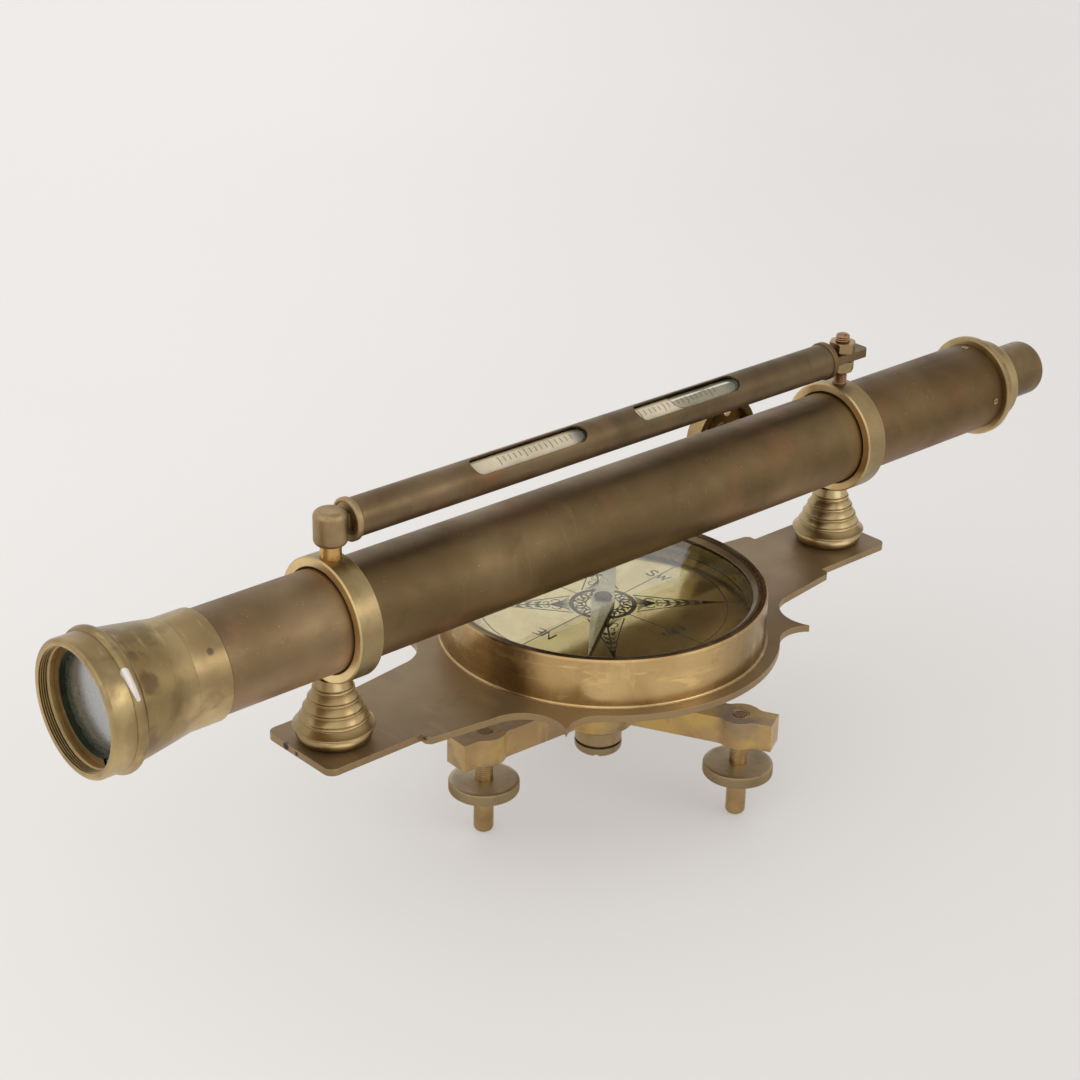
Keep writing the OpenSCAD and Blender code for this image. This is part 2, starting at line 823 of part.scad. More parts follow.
// Compass bowl with ledges for the dial and for the glass
module compass_bowl() {
    seam = 0.8;
    color(gold_brass)
        difference() {
            translate([0, 0, plate_top])
                turned_z(concat(
                    [[0, 0], [bowl_r + seam, 0]],
                    corner([bowl_r + seam, seam], seam, -90, -180),
                    [[bowl_r, bowl_h - 0.6], [bowl_r - 0.6, bowl_h], [bowl_in_r, bowl_h],
                     [bowl_in_r, glass_bottom], [glass_ledge_r, glass_bottom],
                     [glass_ledge_r, dial_rise - dial_t], [dial_ledge_r, dial_rise - dial_t],
                     [dial_ledge_r, bowl_floor], [0, bowl_floor]]
                ));
            compass_screw_places()
                bar_z(plate_top - 1, plate_top + bowl_floor + 1, compass_screw_r + hold_clear);
            bar_z(plate_top - 1, plate_top + bowl_floor + 1, pivot_r + hold_clear);
        }
}

// Screws through the bowl and the plate into the spindle's flange
module compass_screws() {
    seat = plate_top + bowl_floor;
    tip = plate_bottom - spindle_flange_t + 0.5;
    color(base_brass)
        compass_screw_places()
            difference() {
                turned_z([
                    [0, tip], [compass_screw_r, tip], [compass_screw_r, seat],
                    [compass_screw_head_r, seat],
                    [compass_screw_head_r, seat + compass_screw_head_h - 0.6],
                    [compass_screw_head_r - 0.6, seat + compass_screw_head_h],
                    [0, seat + compass_screw_head_h]
                ]);
                translate([-compass_screw_head_r - 1, -slot_w / 2, seat + compass_screw_head_h - 1])
                    cube([2 * compass_screw_head_r + 2, slot_w, 2]);
            }
}

// Dial that lies on the lower ledge
module dial_plate() {
    color(dial_yellow)
        difference() {
            bar_z(plate_top + dial_rise - dial_t, plate_top + dial_rise, glass_ledge_r - run_clear);
            bar_z(plate_top, plate_top + dial_rise + 1, pivot_r + hold_clear);
        }
}

// Pointed pin that the needle turns on
module pivot_pin() {
    color(dark_steel)
        translate([0, 0, plate_top])
            turned_z([
                [0, 0], [pivot_r, 0], [pivot_r, dial_rise + 0.5], [0.3, pivot_tip], [0, pivot_tip]
            ]);
}

// Broad needle with a ridge along each face
module needle() {
    half_len = needle_len / 2;
    half_w = needle_w / 2;
    color(dark_steel)
        difference() {
            translate([0, 0, plate_top + needle_rise])
                rotate(needle_heading)
                    polyhedron(
                        points = [
                            [half_len, 0, 0], [0, half_w, 0], [-half_len, 0, 0], [0, -half_w, 0],
                            [half_len, 0, needle_edge], [0, half_w, needle_edge], [-half_len, 0, needle_edge],
                            [0, -half_w, needle_edge], [0, 0, needle_ridge]
                        ],
                        faces = [
                            [0, 1, 2, 3], [0, 4, 5, 1], [1, 5, 6, 2], [2, 6, 7, 3], [3, 7, 4, 0],
                            [4, 8, 5], [5, 8, 6], [6, 8, 7], [7, 8, 4]
                        ]
                    );
            bar_z(plate_top, plate_top + bowl_h, needle_cap_r - 0.9 + hold_clear);
        }
}

// Cap that rests on the pin and carries the needle
module needle_cap() {
    bottom = plate_top + needle_rise - 0.4;
    ledge = plate_top + needle_rise + needle_ridge;
    tip_gap = 0.25;
    color(gold_brass)
        difference() {
            turned_z(concat(
                [[0, bottom], [needle_cap_r - 0.9, bottom], [needle_cap_r - 0.9, ledge],
                 [needle_cap_r, ledge]],
                corner([needle_cap_r - 0.6, ledge + 0.1], 0.6, 0, 90),
                [[0, ledge + 0.7]]
            ));
            turned_z([
                [0, bottom - 1], [pivot_r + 0.1, bottom - 1], [pivot_r + 0.1, bottom],
                [0.5, plate_top + pivot_tip + tip_gap], [0, plate_top + pivot_tip + tip_gap]
            ]);
        }
}

// Cover glass on the upper ledge
module compass_glass() {
    color(glass_green)
        bar_z(plate_top + glass_bottom, plate_top + glass_top, bowl_in_r - run_clear);
}

// Sloped ring that holds the glass
module bezel_ring() {
    color(plate_brass)
        translate([0, 0, plate_top])
            turned_z([
                [glass_ledge_r - 0.6, glass_top], [bowl_in_r - hold_clear, glass_top],
                [bowl_in_r - hold_clear, glass_top + bezel_h], [bowl_in_r - 0.9, glass_top + bezel_h],
                [glass_ledge_r - 0.6, glass_top + 0.5]
            ]);
}

// Ring round the main tube, with holes for what it carries above and below
module collar(x, top_r) {
    lead = 0.7;
    edge = 0.5;
    half = collar_w / 2;
    color(cell_brass)
        difference() {
            translate([x, 0, 0])
                turned_x([
                    [collar_bore, lead - half], [collar_bore + lead, -half], [collar_r - edge, -half],
                    [collar_r, edge - half], [collar_r, half - edge], [collar_r - edge, half],
                    [collar_bore + lead, half], [collar_bore, half - lead]
                ], tube_z);
            bar_z(tube_z - collar_r - 1, tube_z, spigot_r + hold_clear, x);
            bar_z(tube_z, tube_z + collar_r + 1, top_r + hold_clear, x);
        }
}

module front_collar() { collar(-pillar_x, spigot_r); }
module rear_collar() { collar(pillar_x, stud_r); }

// Main tube of the telescope
module main_tube() {
    color(tube_brass)
        difference() {
            turned_x([
                [tube_in_r, tube_front], [tube_r, tube_front], [tube_r, rear_reach], [tube_in_r, rear_reach]
            ], tube_z);
            bar_y(0, tube_r + 1, bush_r + hold_clear, wheel_x, tube_z);
            for (s = [-1, 1])
                bar_y(0, tube_r + 1, bush_screw_r + hold_clear, wheel_x + s * bush_screw_x, tube_z);
            for (a = [0:90:270])
                translate([flange_screw_x, 0, tube_z])
                    rotate([a, 0, 0])
                        cylinder(h = tube_r + 1, r = flange_screw_head_r + hold_clear);
        }
}

// Bell that widens from the sleeve on the tube to the bead round the front cell
module objective_bell() {
    bell_front_r = cell_d / 2 - 0.6;
    bead_r = bead_w / 2 - 0.1;
    bead_c = [bead_d / 2 - bead_r, cell_back + bead_w / 2];
    bell_mid_r = bell_front_r - 0.45 * (bell_front_r - sleeve_r);
    color(cell_brass)
        turned_x(concat(
            [[tube_r + hold_clear, sleeve_back], [tube_r + hold_clear, tube_front - face_gap],
             [clear_d / 2, tube_front - face_gap], [clear_d / 2, cell_spigot_end + face_gap],
             [cell_spigot_r + hold_clear, cell_spigot_end + face_gap],
             [cell_spigot_r + hold_clear, cell_back + 0.1]],
            corner(bead_c, bead_r, -90, 90, 8),
            [[bell_front_r, bead_back + 0.4], [bell_mid_r, bead_back + bell_len / 2],
             [sleeve_r + 0.15, sleeve_front], [sleeve_r, sleeve_front + 0.3],
             [sleeve_r, sleeve_back - 0.4], [sleeve_r - 0.4, sleeve_back]]
        ), tube_z);
}

// Front cell: rounded rim, inner thread and the seat of the lens
module objective_ring() {
    rim_round = 1.1;
    cell_r = cell_d / 2;
    thread_r = shade_thread_d / 2;
    color(cell_brass)
        turned_x(concat(
            [[thread_r + 0.5, front_x]],
            corner([cell_r - rim_round, front_x + rim_round], rim_round, -90, 0),
            [[cell_r, cell_back], [cell_spigot_r, cell_back], [cell_spigot_r, cell_spigot_end],
             [clear_d / 2, cell_spigot_end], [clear_d / 2, lens_seat], [lens_bore_r, lens_seat],
             [lens_bore_r, thread_end], [thread_r, thread_end], [thread_r, front_x + 0.5]]
        ), tube_z);
}

// Slotted ring that holds the lens in the cell
module lens_retainer() {
    retainer_front = thread_end + 0.2;
    notch_w = 2;
    notch_d = 1.2;
    color(gold_brass)
        difference() {
            turned_x([
                [clear_d / 2, retainer_front + 0.3], [clear_d / 2 + 0.3, retainer_front],
                [lens_bore_r - hold_clear, retainer_front], [lens_bore_r - hold_clear, retainer_back],
                [clear_d / 2, retainer_back]
            ], tube_z);
            for (a = [-25, 155])
                translate([retainer_front - 1, 0, tube_z])
                    rotate([a, 0, 0])
                        translate([0, -notch_w / 2, 0])
                            cube([notch_d + 1, notch_w, lens_d]);
        }
}

// Lens with two curved faces, turned about X; sag is the height of each curve
module lens(edge_front, edge_back, r, sag) {
    ball_r = (r ^ 2 + sag ^ 2) / (2 * sag);
    reach = asin(r / ball_r);
    front_c = edge_front - sag + ball_r;
    back_c = edge_back + sag - ball_r;
    color(glass_green)
        turned_x(concat(
            [for (p = corner([0, front_c], ball_r, -90, -90 + reach, 8)) [max(p.x, 0), p.y]],
            [for (p = corner([0, back_c], ball_r, 90 - reach, 90, 8)) [max(p.x, 0), p.y]]
        ), tube_z);
}

module objective_lens() { lens(lens_front, lens_back, lens_d / 2, 1.2); }

// Flanged end piece that closes the tube and guides the draw tube
module rear_flange() {
    edge = 0.9;
    flange_r = flange_d / 2;
    plug_r = tube_in_r - hold_clear;
    plug_front = rear_reach - flange_spigot_len;
    color(cell_brass)
        difference() {
            turned_x(concat(
                [[draw_r + run_clear, plug_front], [plug_r, plug_front], [plug_r, rear_reach]],
                corner([flange_r - edge, rear_reach + edge], edge, -90, 0),
                corner([flange_r - edge, flange_back - edge], edge, 0, 90),
                [[draw_r + run_clear, flange_back]]
            ), tube_z);
            for (a = [0:90:270])
                translate([flange_screw_x, 0, tube_z])
                    rotate([a, 0, 0])
                        translate([0, 0, draw_r + 1.5])
                            cylinder(h = tube_r, r = flange_screw_r + hold_clear);
        }
}

// Small slotted screws through the tube into the rear flange
module flange_screws() {
    head_top = tube_r + flange_screw_proud;
    color(gold_brass)
        for (a = [0:90:270])
            translate([flange_screw_x, 0, tube_z])
                rotate([a, 0, 0])
                    difference() {
                        union() {
                            bar_z(draw_r + 2, head_top, flange_screw_r);
                            bar_z(tube_in_r + 0.05, head_top, flange_screw_head_r);
                        }
                        translate([-2, -0.2, head_top - 0.35])
                            cube([4, 0.4, 1]);
                    }
}

// Sliding tube that carries the eyepiece, with a guide at its front end
module draw_tube() {
    guide_r = tube_in_r - 0.15;
    guide_back = draw_front + draw_guide_len;
    color(cell_brass)
        turned_x([
            [draw_in_r, draw_front], [guide_r - 0.5, draw_front], [guide_r, draw_front + 0.5],
            [guide_r, guide_back - 0.5], [guide_r - 0.5, guide_back], [draw_r, guide_back],
            [draw_r, draw_back], [draw_in_r, draw_back]
        ], tube_z);
}

// Rack on the side of the draw tube, above the pinion
module focus_rack() {
    outer = pinion_in + pinion_w - 0.4;
    color(gold_brass)
        difference() {
            translate([wheel_x - tooth_pitch / 2, outer, tube_z + pitch_r])
                rotate([90, 0, 0])
                    linear_extrude(outer)
                        polygon(rack_outline());
            bar_x(draw_front, draw_back, draw_r, tube_z);
        }
}

// Ring with the cross wires, inside the draw tube
module reticle() {
    ring_w = 3;
    wire = 0.3;
    inner = draw_in_r - ring_w;
    color(dark_steel) {
        turned_x([
            [inner, reticle_x], [draw_in_r - hold_clear, reticle_x], [draw_in_r - hold_clear, reticle_x + 4],
            [inner, reticle_x + 4]
        ], tube_z);
        translate([reticle_x, -wire / 2, tube_z - inner - 0.5])
            cube([wire, wire, 2 * inner + 1]);
        translate([reticle_x, -inner - 0.5, tube_z - wire / 2])
            cube([wire, 2 * inner + 1, wire]);
    }
}

// Ring on the end of the draw tube that takes the eyepiece
module eyepiece_mount() {
    edge = 2;
    mount_r = mount_d / 2;
    color(tube_brass)
        turned_x(concat(
            [[draw_r + hold_clear, mount_front], [mount_r - 0.4, mount_front], [mount_r, mount_front + 0.4]],
            corner([mount_r - edge, mount_back - edge], edge, 0, 90),
            [[eyepiece_spigot_r + run_clear, mount_back], [eyepiece_spigot_r + run_clear, draw_back],
             [draw_r + hold_clear, draw_back]]
        ), tube_z);
}

// Eyepiece barrel with a rounded end and a small dished eye hole
module eyepiece() {
    dish = 2.5;
    eye_hole_r = eye_hole_d / 2;
    spigot_front = eyepiece_front - eyepiece_spigot_len;
    color(tube_brass)
        turned_x(concat(
            [[eyepiece_bore, spigot_front], [eyepiece_spigot_r, spigot_front],
             [eyepiece_spigot_r, eyepiece_front], [eyepiece_r - 0.3, eyepiece_front],
             [eyepiece_r, eyepiece_front + 0.3]],
            corner([eyepiece_r - eyepiece_round, eyepiece_back - eyepiece_round], eyepiece_round, 0, 90),
            [[eye_hole_r + dish, eyepiece_back], [eye_hole_r, eyepiece_back - dish],
             [eye_hole_r, eyepiece_back - dish - 1.5], [eyepiece_bore, eyepiece_back - dish - 1.5]]
        ), tube_z);
}

module field_lens() {
    front = eyepiece_front - eyepiece_spigot_len + 1;
    lens(front + 1, front + 3, eyepiece_bore - hold_clear, 0.9);
}

module eye_lens() {
    back = eyepiece_back - 5;
    lens(back - 3, back - 1, eyepiece_bore - hold_clear, 0.9);
}

// Bearing of the pinion, on a saddle on the side of the tube
module pinion_bush() {
    color(cell_brass)
        difference() {
            union() {
                difference() {
                    union() {
                        bar_y(tube_in_r - 3, bush_flange_y, bush_flange_r, wheel_x, tube_z);
                        bar_y(bush_flange_y, bush_end, bush_barrel_r, wheel_x, tube_z);
                    }
                    bar_x(wheel_x - 2 * bush_flange_r, wheel_x + 2 * bush_flange_r, tube_r, tube_z);
                }
                bar_y(pinion_in + pinion_w + 0.1, bush_flange_y, bush_r, wheel_x, tube_z);
            }
            bar_y(0, wheel_back, shaft_r + run_clear, wheel_x, tube_z);
            for (s = [-1, 1])
                bar_y(0, wheel_back, bush_screw_r + hold_clear, wheel_x + s * bush_screw_x, tube_z);
        }
}

// Two screws that hold the saddle on the tube
module bush_screws() {
    color(gold_brass)
        for (s = [-1, 1])
            difference() {
                union() {
                    bar_y(tube_in_r, bush_flange_y, bush_screw_r, wheel_x + s * bush_screw_x, tube_z);
                    bar_y(bush_flange_y, bush_flange_y + 1, bush_screw_head_r, wheel_x + s * bush_screw_x, tube_z);
                }
                translate([wheel_x + s * bush_screw_x - 0.25, bush_flange_y + 0.5, tube_z - 3])
                    cube([0.5, 1, 6]);
            }
}

// Pinion and its shaft
module pinion() {
    color(gold_brass)
        union() {
            translate([wheel_x, pinion_in + pinion_w, tube_z])
                rotate([90, 0, 0])
                    rotate(90)
                        linear_extrude(pinion_w)
                            polygon(pinion_outline());
            bar_y(pinion_in + pinion_w - 0.1, wheel_back - 1, shaft_r, wheel_x, tube_z);
        }
}

// Focusing wheel, hollow on the side towards the tube, with holes in its web
module focus_wheel() {
    edge = 0.5;
    web_front = wheel_y + wheel_web_in;
    web_back = web_front + wheel_web;
    rim_in = wheel_r - wheel_rim;
    color(gold_brass)
        difference() {
            turned_y([
                [shaft_r + hold_clear, wheel_y], [wheel_hub_r, wheel_y], [wheel_hub_r, web_front],
                [rim_in, web_front], [rim_in, wheel_y + edge], [rim_in + edge, wheel_y],
                [wheel_r - edge, wheel_y], [wheel_r, wheel_y + edge], [wheel_r, wheel_back - edge],
                [wheel_r - edge, wheel_back], [rim_in + edge, wheel_back], [rim_in, wheel_back - edge],
                [rim_in, web_back], [wheel_hub_r, web_back], [wheel_hub_r, wheel_back - 0.6],
                [shaft_r + hold_clear, wheel_back - 0.6]
            ], wheel_x, tube_z);
            for (k = [0:3])
                translate([wheel_x, 0, tube_z])
                    rotate([0, 90 * k, 0])
                        bar_y(wheel_y, wheel_back, wheel_hole_d / 2, 0, wheel_hole_circle);
        }
}

// Screw that holds the wheel on its shaft
module wheel_screw() {
    seat = wheel_back - 0.6;
    color(base_brass)
        difference() {
            turned_y(concat(
                [[0, seat], [wheel_screw_head_r, seat]],
                corner([wheel_screw_head_r - 0.7, seat + wheel_screw_head_h - 0.7], 0.7, 0, 90),
                [[0, seat + wheel_screw_head_h]]
            ), wheel_x, tube_z);
            translate([wheel_x, seat + wheel_screw_head_h + 0.2, tube_z])
                cube([2 * wheel_screw_head_r + 2, 2, slot_w], center = true);
        }
}

// Bright neck between the front collar and the post's cap
module front_post() {
    spigot_top = level_z - tongue_r - 1.6;
    color(copper)
        union() {
            difference() {
                bar_z(tube_z + collar_r - 2, cap_bottom, post_d / 2, -pillar_x);
                bar_x(-pillar_x - post_d, -pillar_x + post_d, collar_r, tube_z);
            }
            bar_z(tube_z + collar_r - collar_ring * 0.7, spigot_top, spigot_r, -pillar_x);
        }
}

// Turned cap of the post, slotted at the back for the tongue of the level
module post_cap() {
    top_round = 2.1;
    under_round = 1.8;
    slot_half = tongue_t / 2 + 0.15;
    slot_r = tongue_r + 0.8;
    color(cell_brass)
        difference() {
            turned_z(concat(
                [[0, cap_bottom]],
                corner([cap_r - under_round, cap_bottom + under_round], under_round, -90, 0),
                corner([cap_r - top_round, cap_top - top_round], top_round, 0, 90),
                [[0, cap_top]]
            ), -pillar_x);
            bar_z(cap_bottom - 1, level_z - tongue_r - 1.5, spigot_r + hold_clear, -pillar_x);
            bar_y(-slot_half, slot_half, slot_r, -pillar_x, level_z);
            translate([-pillar_x, -slot_half, level_z - slot_r])
                cube([cap_r + 1, 2 * slot_half, 2 * slot_r]);
            bar_y(-cap_r + 1.2, cap_r + 1, pivot_pin_r + hold_clear, -pillar_x, level_z);
        }
}

// Pin across the cap that the level tilts on
module level_pivot_pin() {
    color(base_brass)
        bar_y(-cap_r + 1.3, cap_r - 0.5, pivot_pin_r, -pillar_x, level_z);
}

// Threaded stud on the rear collar
module rear_stud() {
    tip = 0.9;
    color(copper)
        turned_z([
            [0, tube_z + collar_r - collar_ring * 0.8], [stud_r, tube_z + collar_r - collar_ring * 0.8],
            [stud_r, stud_top - tip], [stud_r - tip, stud_top], [0, stud_top]
        ], pillar_x);
}

// Window seen along its own direction: a slot with round ends
module window_outline() {
    straight = (window_len - window_w) / 2;
    square([2 * straight, window_w], center = true);
    for (s = [-1, 1])
        translate([s * straight, 0])
            circle(r = window_w / 2);
}

// Level tube with its two windows
module level_tube() {
    color(tube_brass)
        difference() {
            turned_x([
                [level_in_r, level_front], [level_r, level_front], [level_r, level_back],
                [level_in_r, level_back]
            ], level_z);
            for (x = [front_window_x, rear_window_x])
                translate([x, 0, level_z])
                    rotate([level_roll, 0, 0])
                        linear_extrude(level_d)
                            window_outline();
        }
}

// Front cap of the level: dished flange, plug and the tongue that enters the post's cap
module level_front_cap() {
    front_cap_r = front_cap_d / 2;
    plug_r = level_in_r - hold_clear;
    dish_r = front_cap_r - 1.1;
    dish = 0.5;
    color(cell_brass)
        union() {
            turned_x([
                [0, front_cap_x + dish], [dish_r - 0.4, front_cap_x + dish], [dish_r, front_cap_x],
                [front_cap_r - 0.6, front_cap_x], [front_cap_r, front_cap_x + 0.6],
                [front_cap_r, level_front - 0.8], [front_cap_r - 0.8, level_front], [plug_r, level_front],
                [plug_r, level_front + cap_spigot_len], [0, level_front + cap_spigot_len]
            ], level_z);
            difference() {
                union() {
                    bar_y(-tongue_t / 2, tongue_t / 2, tongue_r, -pillar_x, level_z);
                    translate([-pillar_x, -tongue_t / 2, level_z - tongue_r])
                        cube([front_cap_x + dish + 0.5 + pillar_x, tongue_t, 2 * tongue_r]);
                }
                bar_y(-tongue_t, tongue_t, pivot_pin_r + run_clear, -pillar_x, level_z);
            }
        }
}

// Rear cap of the level: ring, plug and the lug between the two nuts
module level_rear_cap() {
    rear_cap_r = rear_cap_d / 2;
    plug_r = level_in_r - hold_clear;
    plug_front = level_back - cap_spigot_len;
    lug_edge = 1.3;
    color(cell_brass)
        difference() {
            union() {
                turned_x([
                    [0, plug_front], [plug_r, plug_front], [plug_r, level_back],
                    [rear_cap_r - 0.4, level_back], [rear_cap_r, level_back + 0.4],
                    [rear_cap_r, rear_cap_x - 0.6], [rear_cap_r - 0.6, rear_cap_x], [0, rear_cap_x]
                ], level_z);
                translate([rear_cap_x - 1, 0, level_z - lug_t / 2])
                    linear_extrude(lug_t)
                        polygon([
                            [0, -lug_w / 2], [lug_end - rear_cap_x + 1 - lug_edge, -lug_w / 2],
                            [lug_end - rear_cap_x + 1, lug_edge - lug_w / 2],
                            [lug_end - rear_cap_x + 1, lug_w / 2 - lug_edge],
                            [lug_end - rear_cap_x + 1 - lug_edge, lug_w / 2], [0, lug_w / 2]
                        ]);
            }
            bar_z(level_z - lug_t, level_z + lug_t, lug_hole_r, pillar_x);
        }
}

// Glass vial with rounded ends
module vial(x) {
    half = vial_len / 2;
    color(glass_green)
        translate([x, 0, 0])
            turned_x(concat(
                [[0, -half]],
                corner([vial_r - vial_nose, vial_nose - half], vial_nose, -90, 0),
                corner([vial_r - vial_nose, half - vial_nose], vial_nose, 0, 90),
                [[0, half]]
            ), level_z);
}

module front_vial() { vial(front_window_x); }
module rear_vial() { vial(rear_window_x); }

// Cream bed round the lower half of a vial
module vial_bed(x) {
    half = vial_len / 2;
    color(cream)
        difference() {
            translate([x, 0, 0])
                turned_x([
                    [vial_r + 0.05, -half], [level_in_r - 0.05, -half], [level_in_r - 0.05, half],
                    [vial_r + 0.05, half]
                ], level_z);
            translate([x, 0, level_z])
                rotate([level_roll, 0, 0])
                    translate([-half - 1, -level_d, -0.6])
                        cube([vial_len + 2, 2 * level_d, level_d]);
        }
}

module front_vial_bed() { vial_bed(front_window_x); }
module rear_vial_bed() { vial_bed(rear_window_x); }

// Hexagon nut with bevelled corners
module nut(bottom) {
    corner_r = nut_flats / 2 / cos(30);
    bevel = 0.5;
    color(cell_brass)
        difference() {
            intersection() {
                translate([pillar_x, 0, bottom])
                    rotate(30)
                        cylinder(h = nut_h, r = corner_r, $fn = 6);
                turned_z([
                    [0, bottom], [corner_r - bevel, bottom], [corner_r, bottom + bevel * 0.6],
                    [corner_r, bottom + nut_h - bevel * 0.6], [corner_r - bevel, bottom + nut_h],
                    [0, bottom + nut_h]
                ], pillar_x);
            }
            bar_z(bottom - 1, bottom + nut_h + 1, nut_bore, pillar_x);
        }
}

module upper_nut() { nut(level_z + lug_t / 2 + nut_gap); }
module lower_nut() { nut(level_z - lug_t / 2 - nut_gap - nut_h); }

tribrach();
foot_1();
foot_2();
foot_3();
levelling_screw_1();
levelling_screw_2();
levelling_screw_3();
spindle();
centre_washer();
centre_screw();
base_plate();
front_pillar();
rear_pillar();
pillar_screws();
compass_bowl();
compass_screws();
dial_plate();
pivot_pin();
needle();
needle_cap();
compass_glass();
bezel_ring();
front_collar();
rear_collar();
main_tube();
objective_bell();
objective_ring();
lens_retainer();
objective_lens();
rear_flange();
flange_screws();
draw_tube();
focus_rack();
reticle();
eyepiece_mount();
eyepiece();
field_lens();
eye_lens();
pinion_bush();
bush_screws();
pinion();
focus_wheel();
wheel_screw();
front_post();
post_cap();
level_pivot_pin();
rear_stud();
level_tube();
level_front_cap();
level_rear_cap();
front_vial();
rear_vial();
front_vial_bed();
rear_vial_bed();
upper_nut();
lower_nut();
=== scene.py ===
import math

import bmesh
import bpy
from mathutils import Matrix, Vector


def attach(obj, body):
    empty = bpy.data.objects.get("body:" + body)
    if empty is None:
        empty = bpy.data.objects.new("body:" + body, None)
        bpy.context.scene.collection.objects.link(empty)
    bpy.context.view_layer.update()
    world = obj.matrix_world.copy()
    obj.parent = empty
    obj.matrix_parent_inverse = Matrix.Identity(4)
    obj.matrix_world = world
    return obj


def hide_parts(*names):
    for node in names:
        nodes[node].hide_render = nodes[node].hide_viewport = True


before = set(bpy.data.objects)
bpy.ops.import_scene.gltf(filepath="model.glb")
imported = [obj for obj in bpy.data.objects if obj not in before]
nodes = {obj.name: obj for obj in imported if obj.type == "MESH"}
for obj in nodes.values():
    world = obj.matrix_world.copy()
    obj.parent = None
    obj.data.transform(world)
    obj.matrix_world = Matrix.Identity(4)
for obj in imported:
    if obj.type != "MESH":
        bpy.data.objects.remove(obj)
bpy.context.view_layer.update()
scene = bpy.context.scene
MM = 0.001

# Sizes of the part that the added pieces share with it, in millimetres.
TUBE_Z = 108.0
LEVEL_Z = 140.4
PILLAR_X = 121.0
PLATE_TOP = 64.0
COLLAR_R = 21.4
DIAL_TOP = 74.0
FRONT_X = -217.0
FEET = {1: (-53.345, 2.422), 2: (24.575, -47.409), 3: (28.770, 44.987)}
WINDOW_ROLL = 27.0
WINDOW_X = {"front": -39.5, "rear": 35.5}


# Camera at the angle of the photograph.
def photo_camera():
    azimuth = math.radians(-42.4764)
    elevation = math.radians(25.0552)
    roll = math.radians(1.2947)
    back = Vector((
        math.sin(azimuth) * math.cos(elevation),
        -math.cos(azimuth) * math.cos(elevation),
        math.sin(elevation),
    ))
    right = Vector((math.cos(azimuth), math.sin(azimuth), 0.0))
    up = back.cross(right)
    across = math.cos(roll) * right + math.sin(roll) * up
    upward = -math.sin(roll) * right + math.cos(roll) * up
    data = bpy.data.cameras.new("photo_camera")
    data.sensor_width = 36.0
    data.lens = 78.85
    data.clip_start = 0.01
    data.clip_end = 50.0
    camera = bpy.data.objects.new("photo_camera", data)
    scene.collection.objects.link(camera)
    turn = Matrix((across, upward, back)).transposed().to_4x4()
    turn.translation = Vector((-529.20, -543.87, 453.22)) * MM
    camera.matrix_world = turn
    scene.camera = camera


photo_camera()
scene.view_settings.view_transform = "Standard"
scene.view_settings.look = "None"


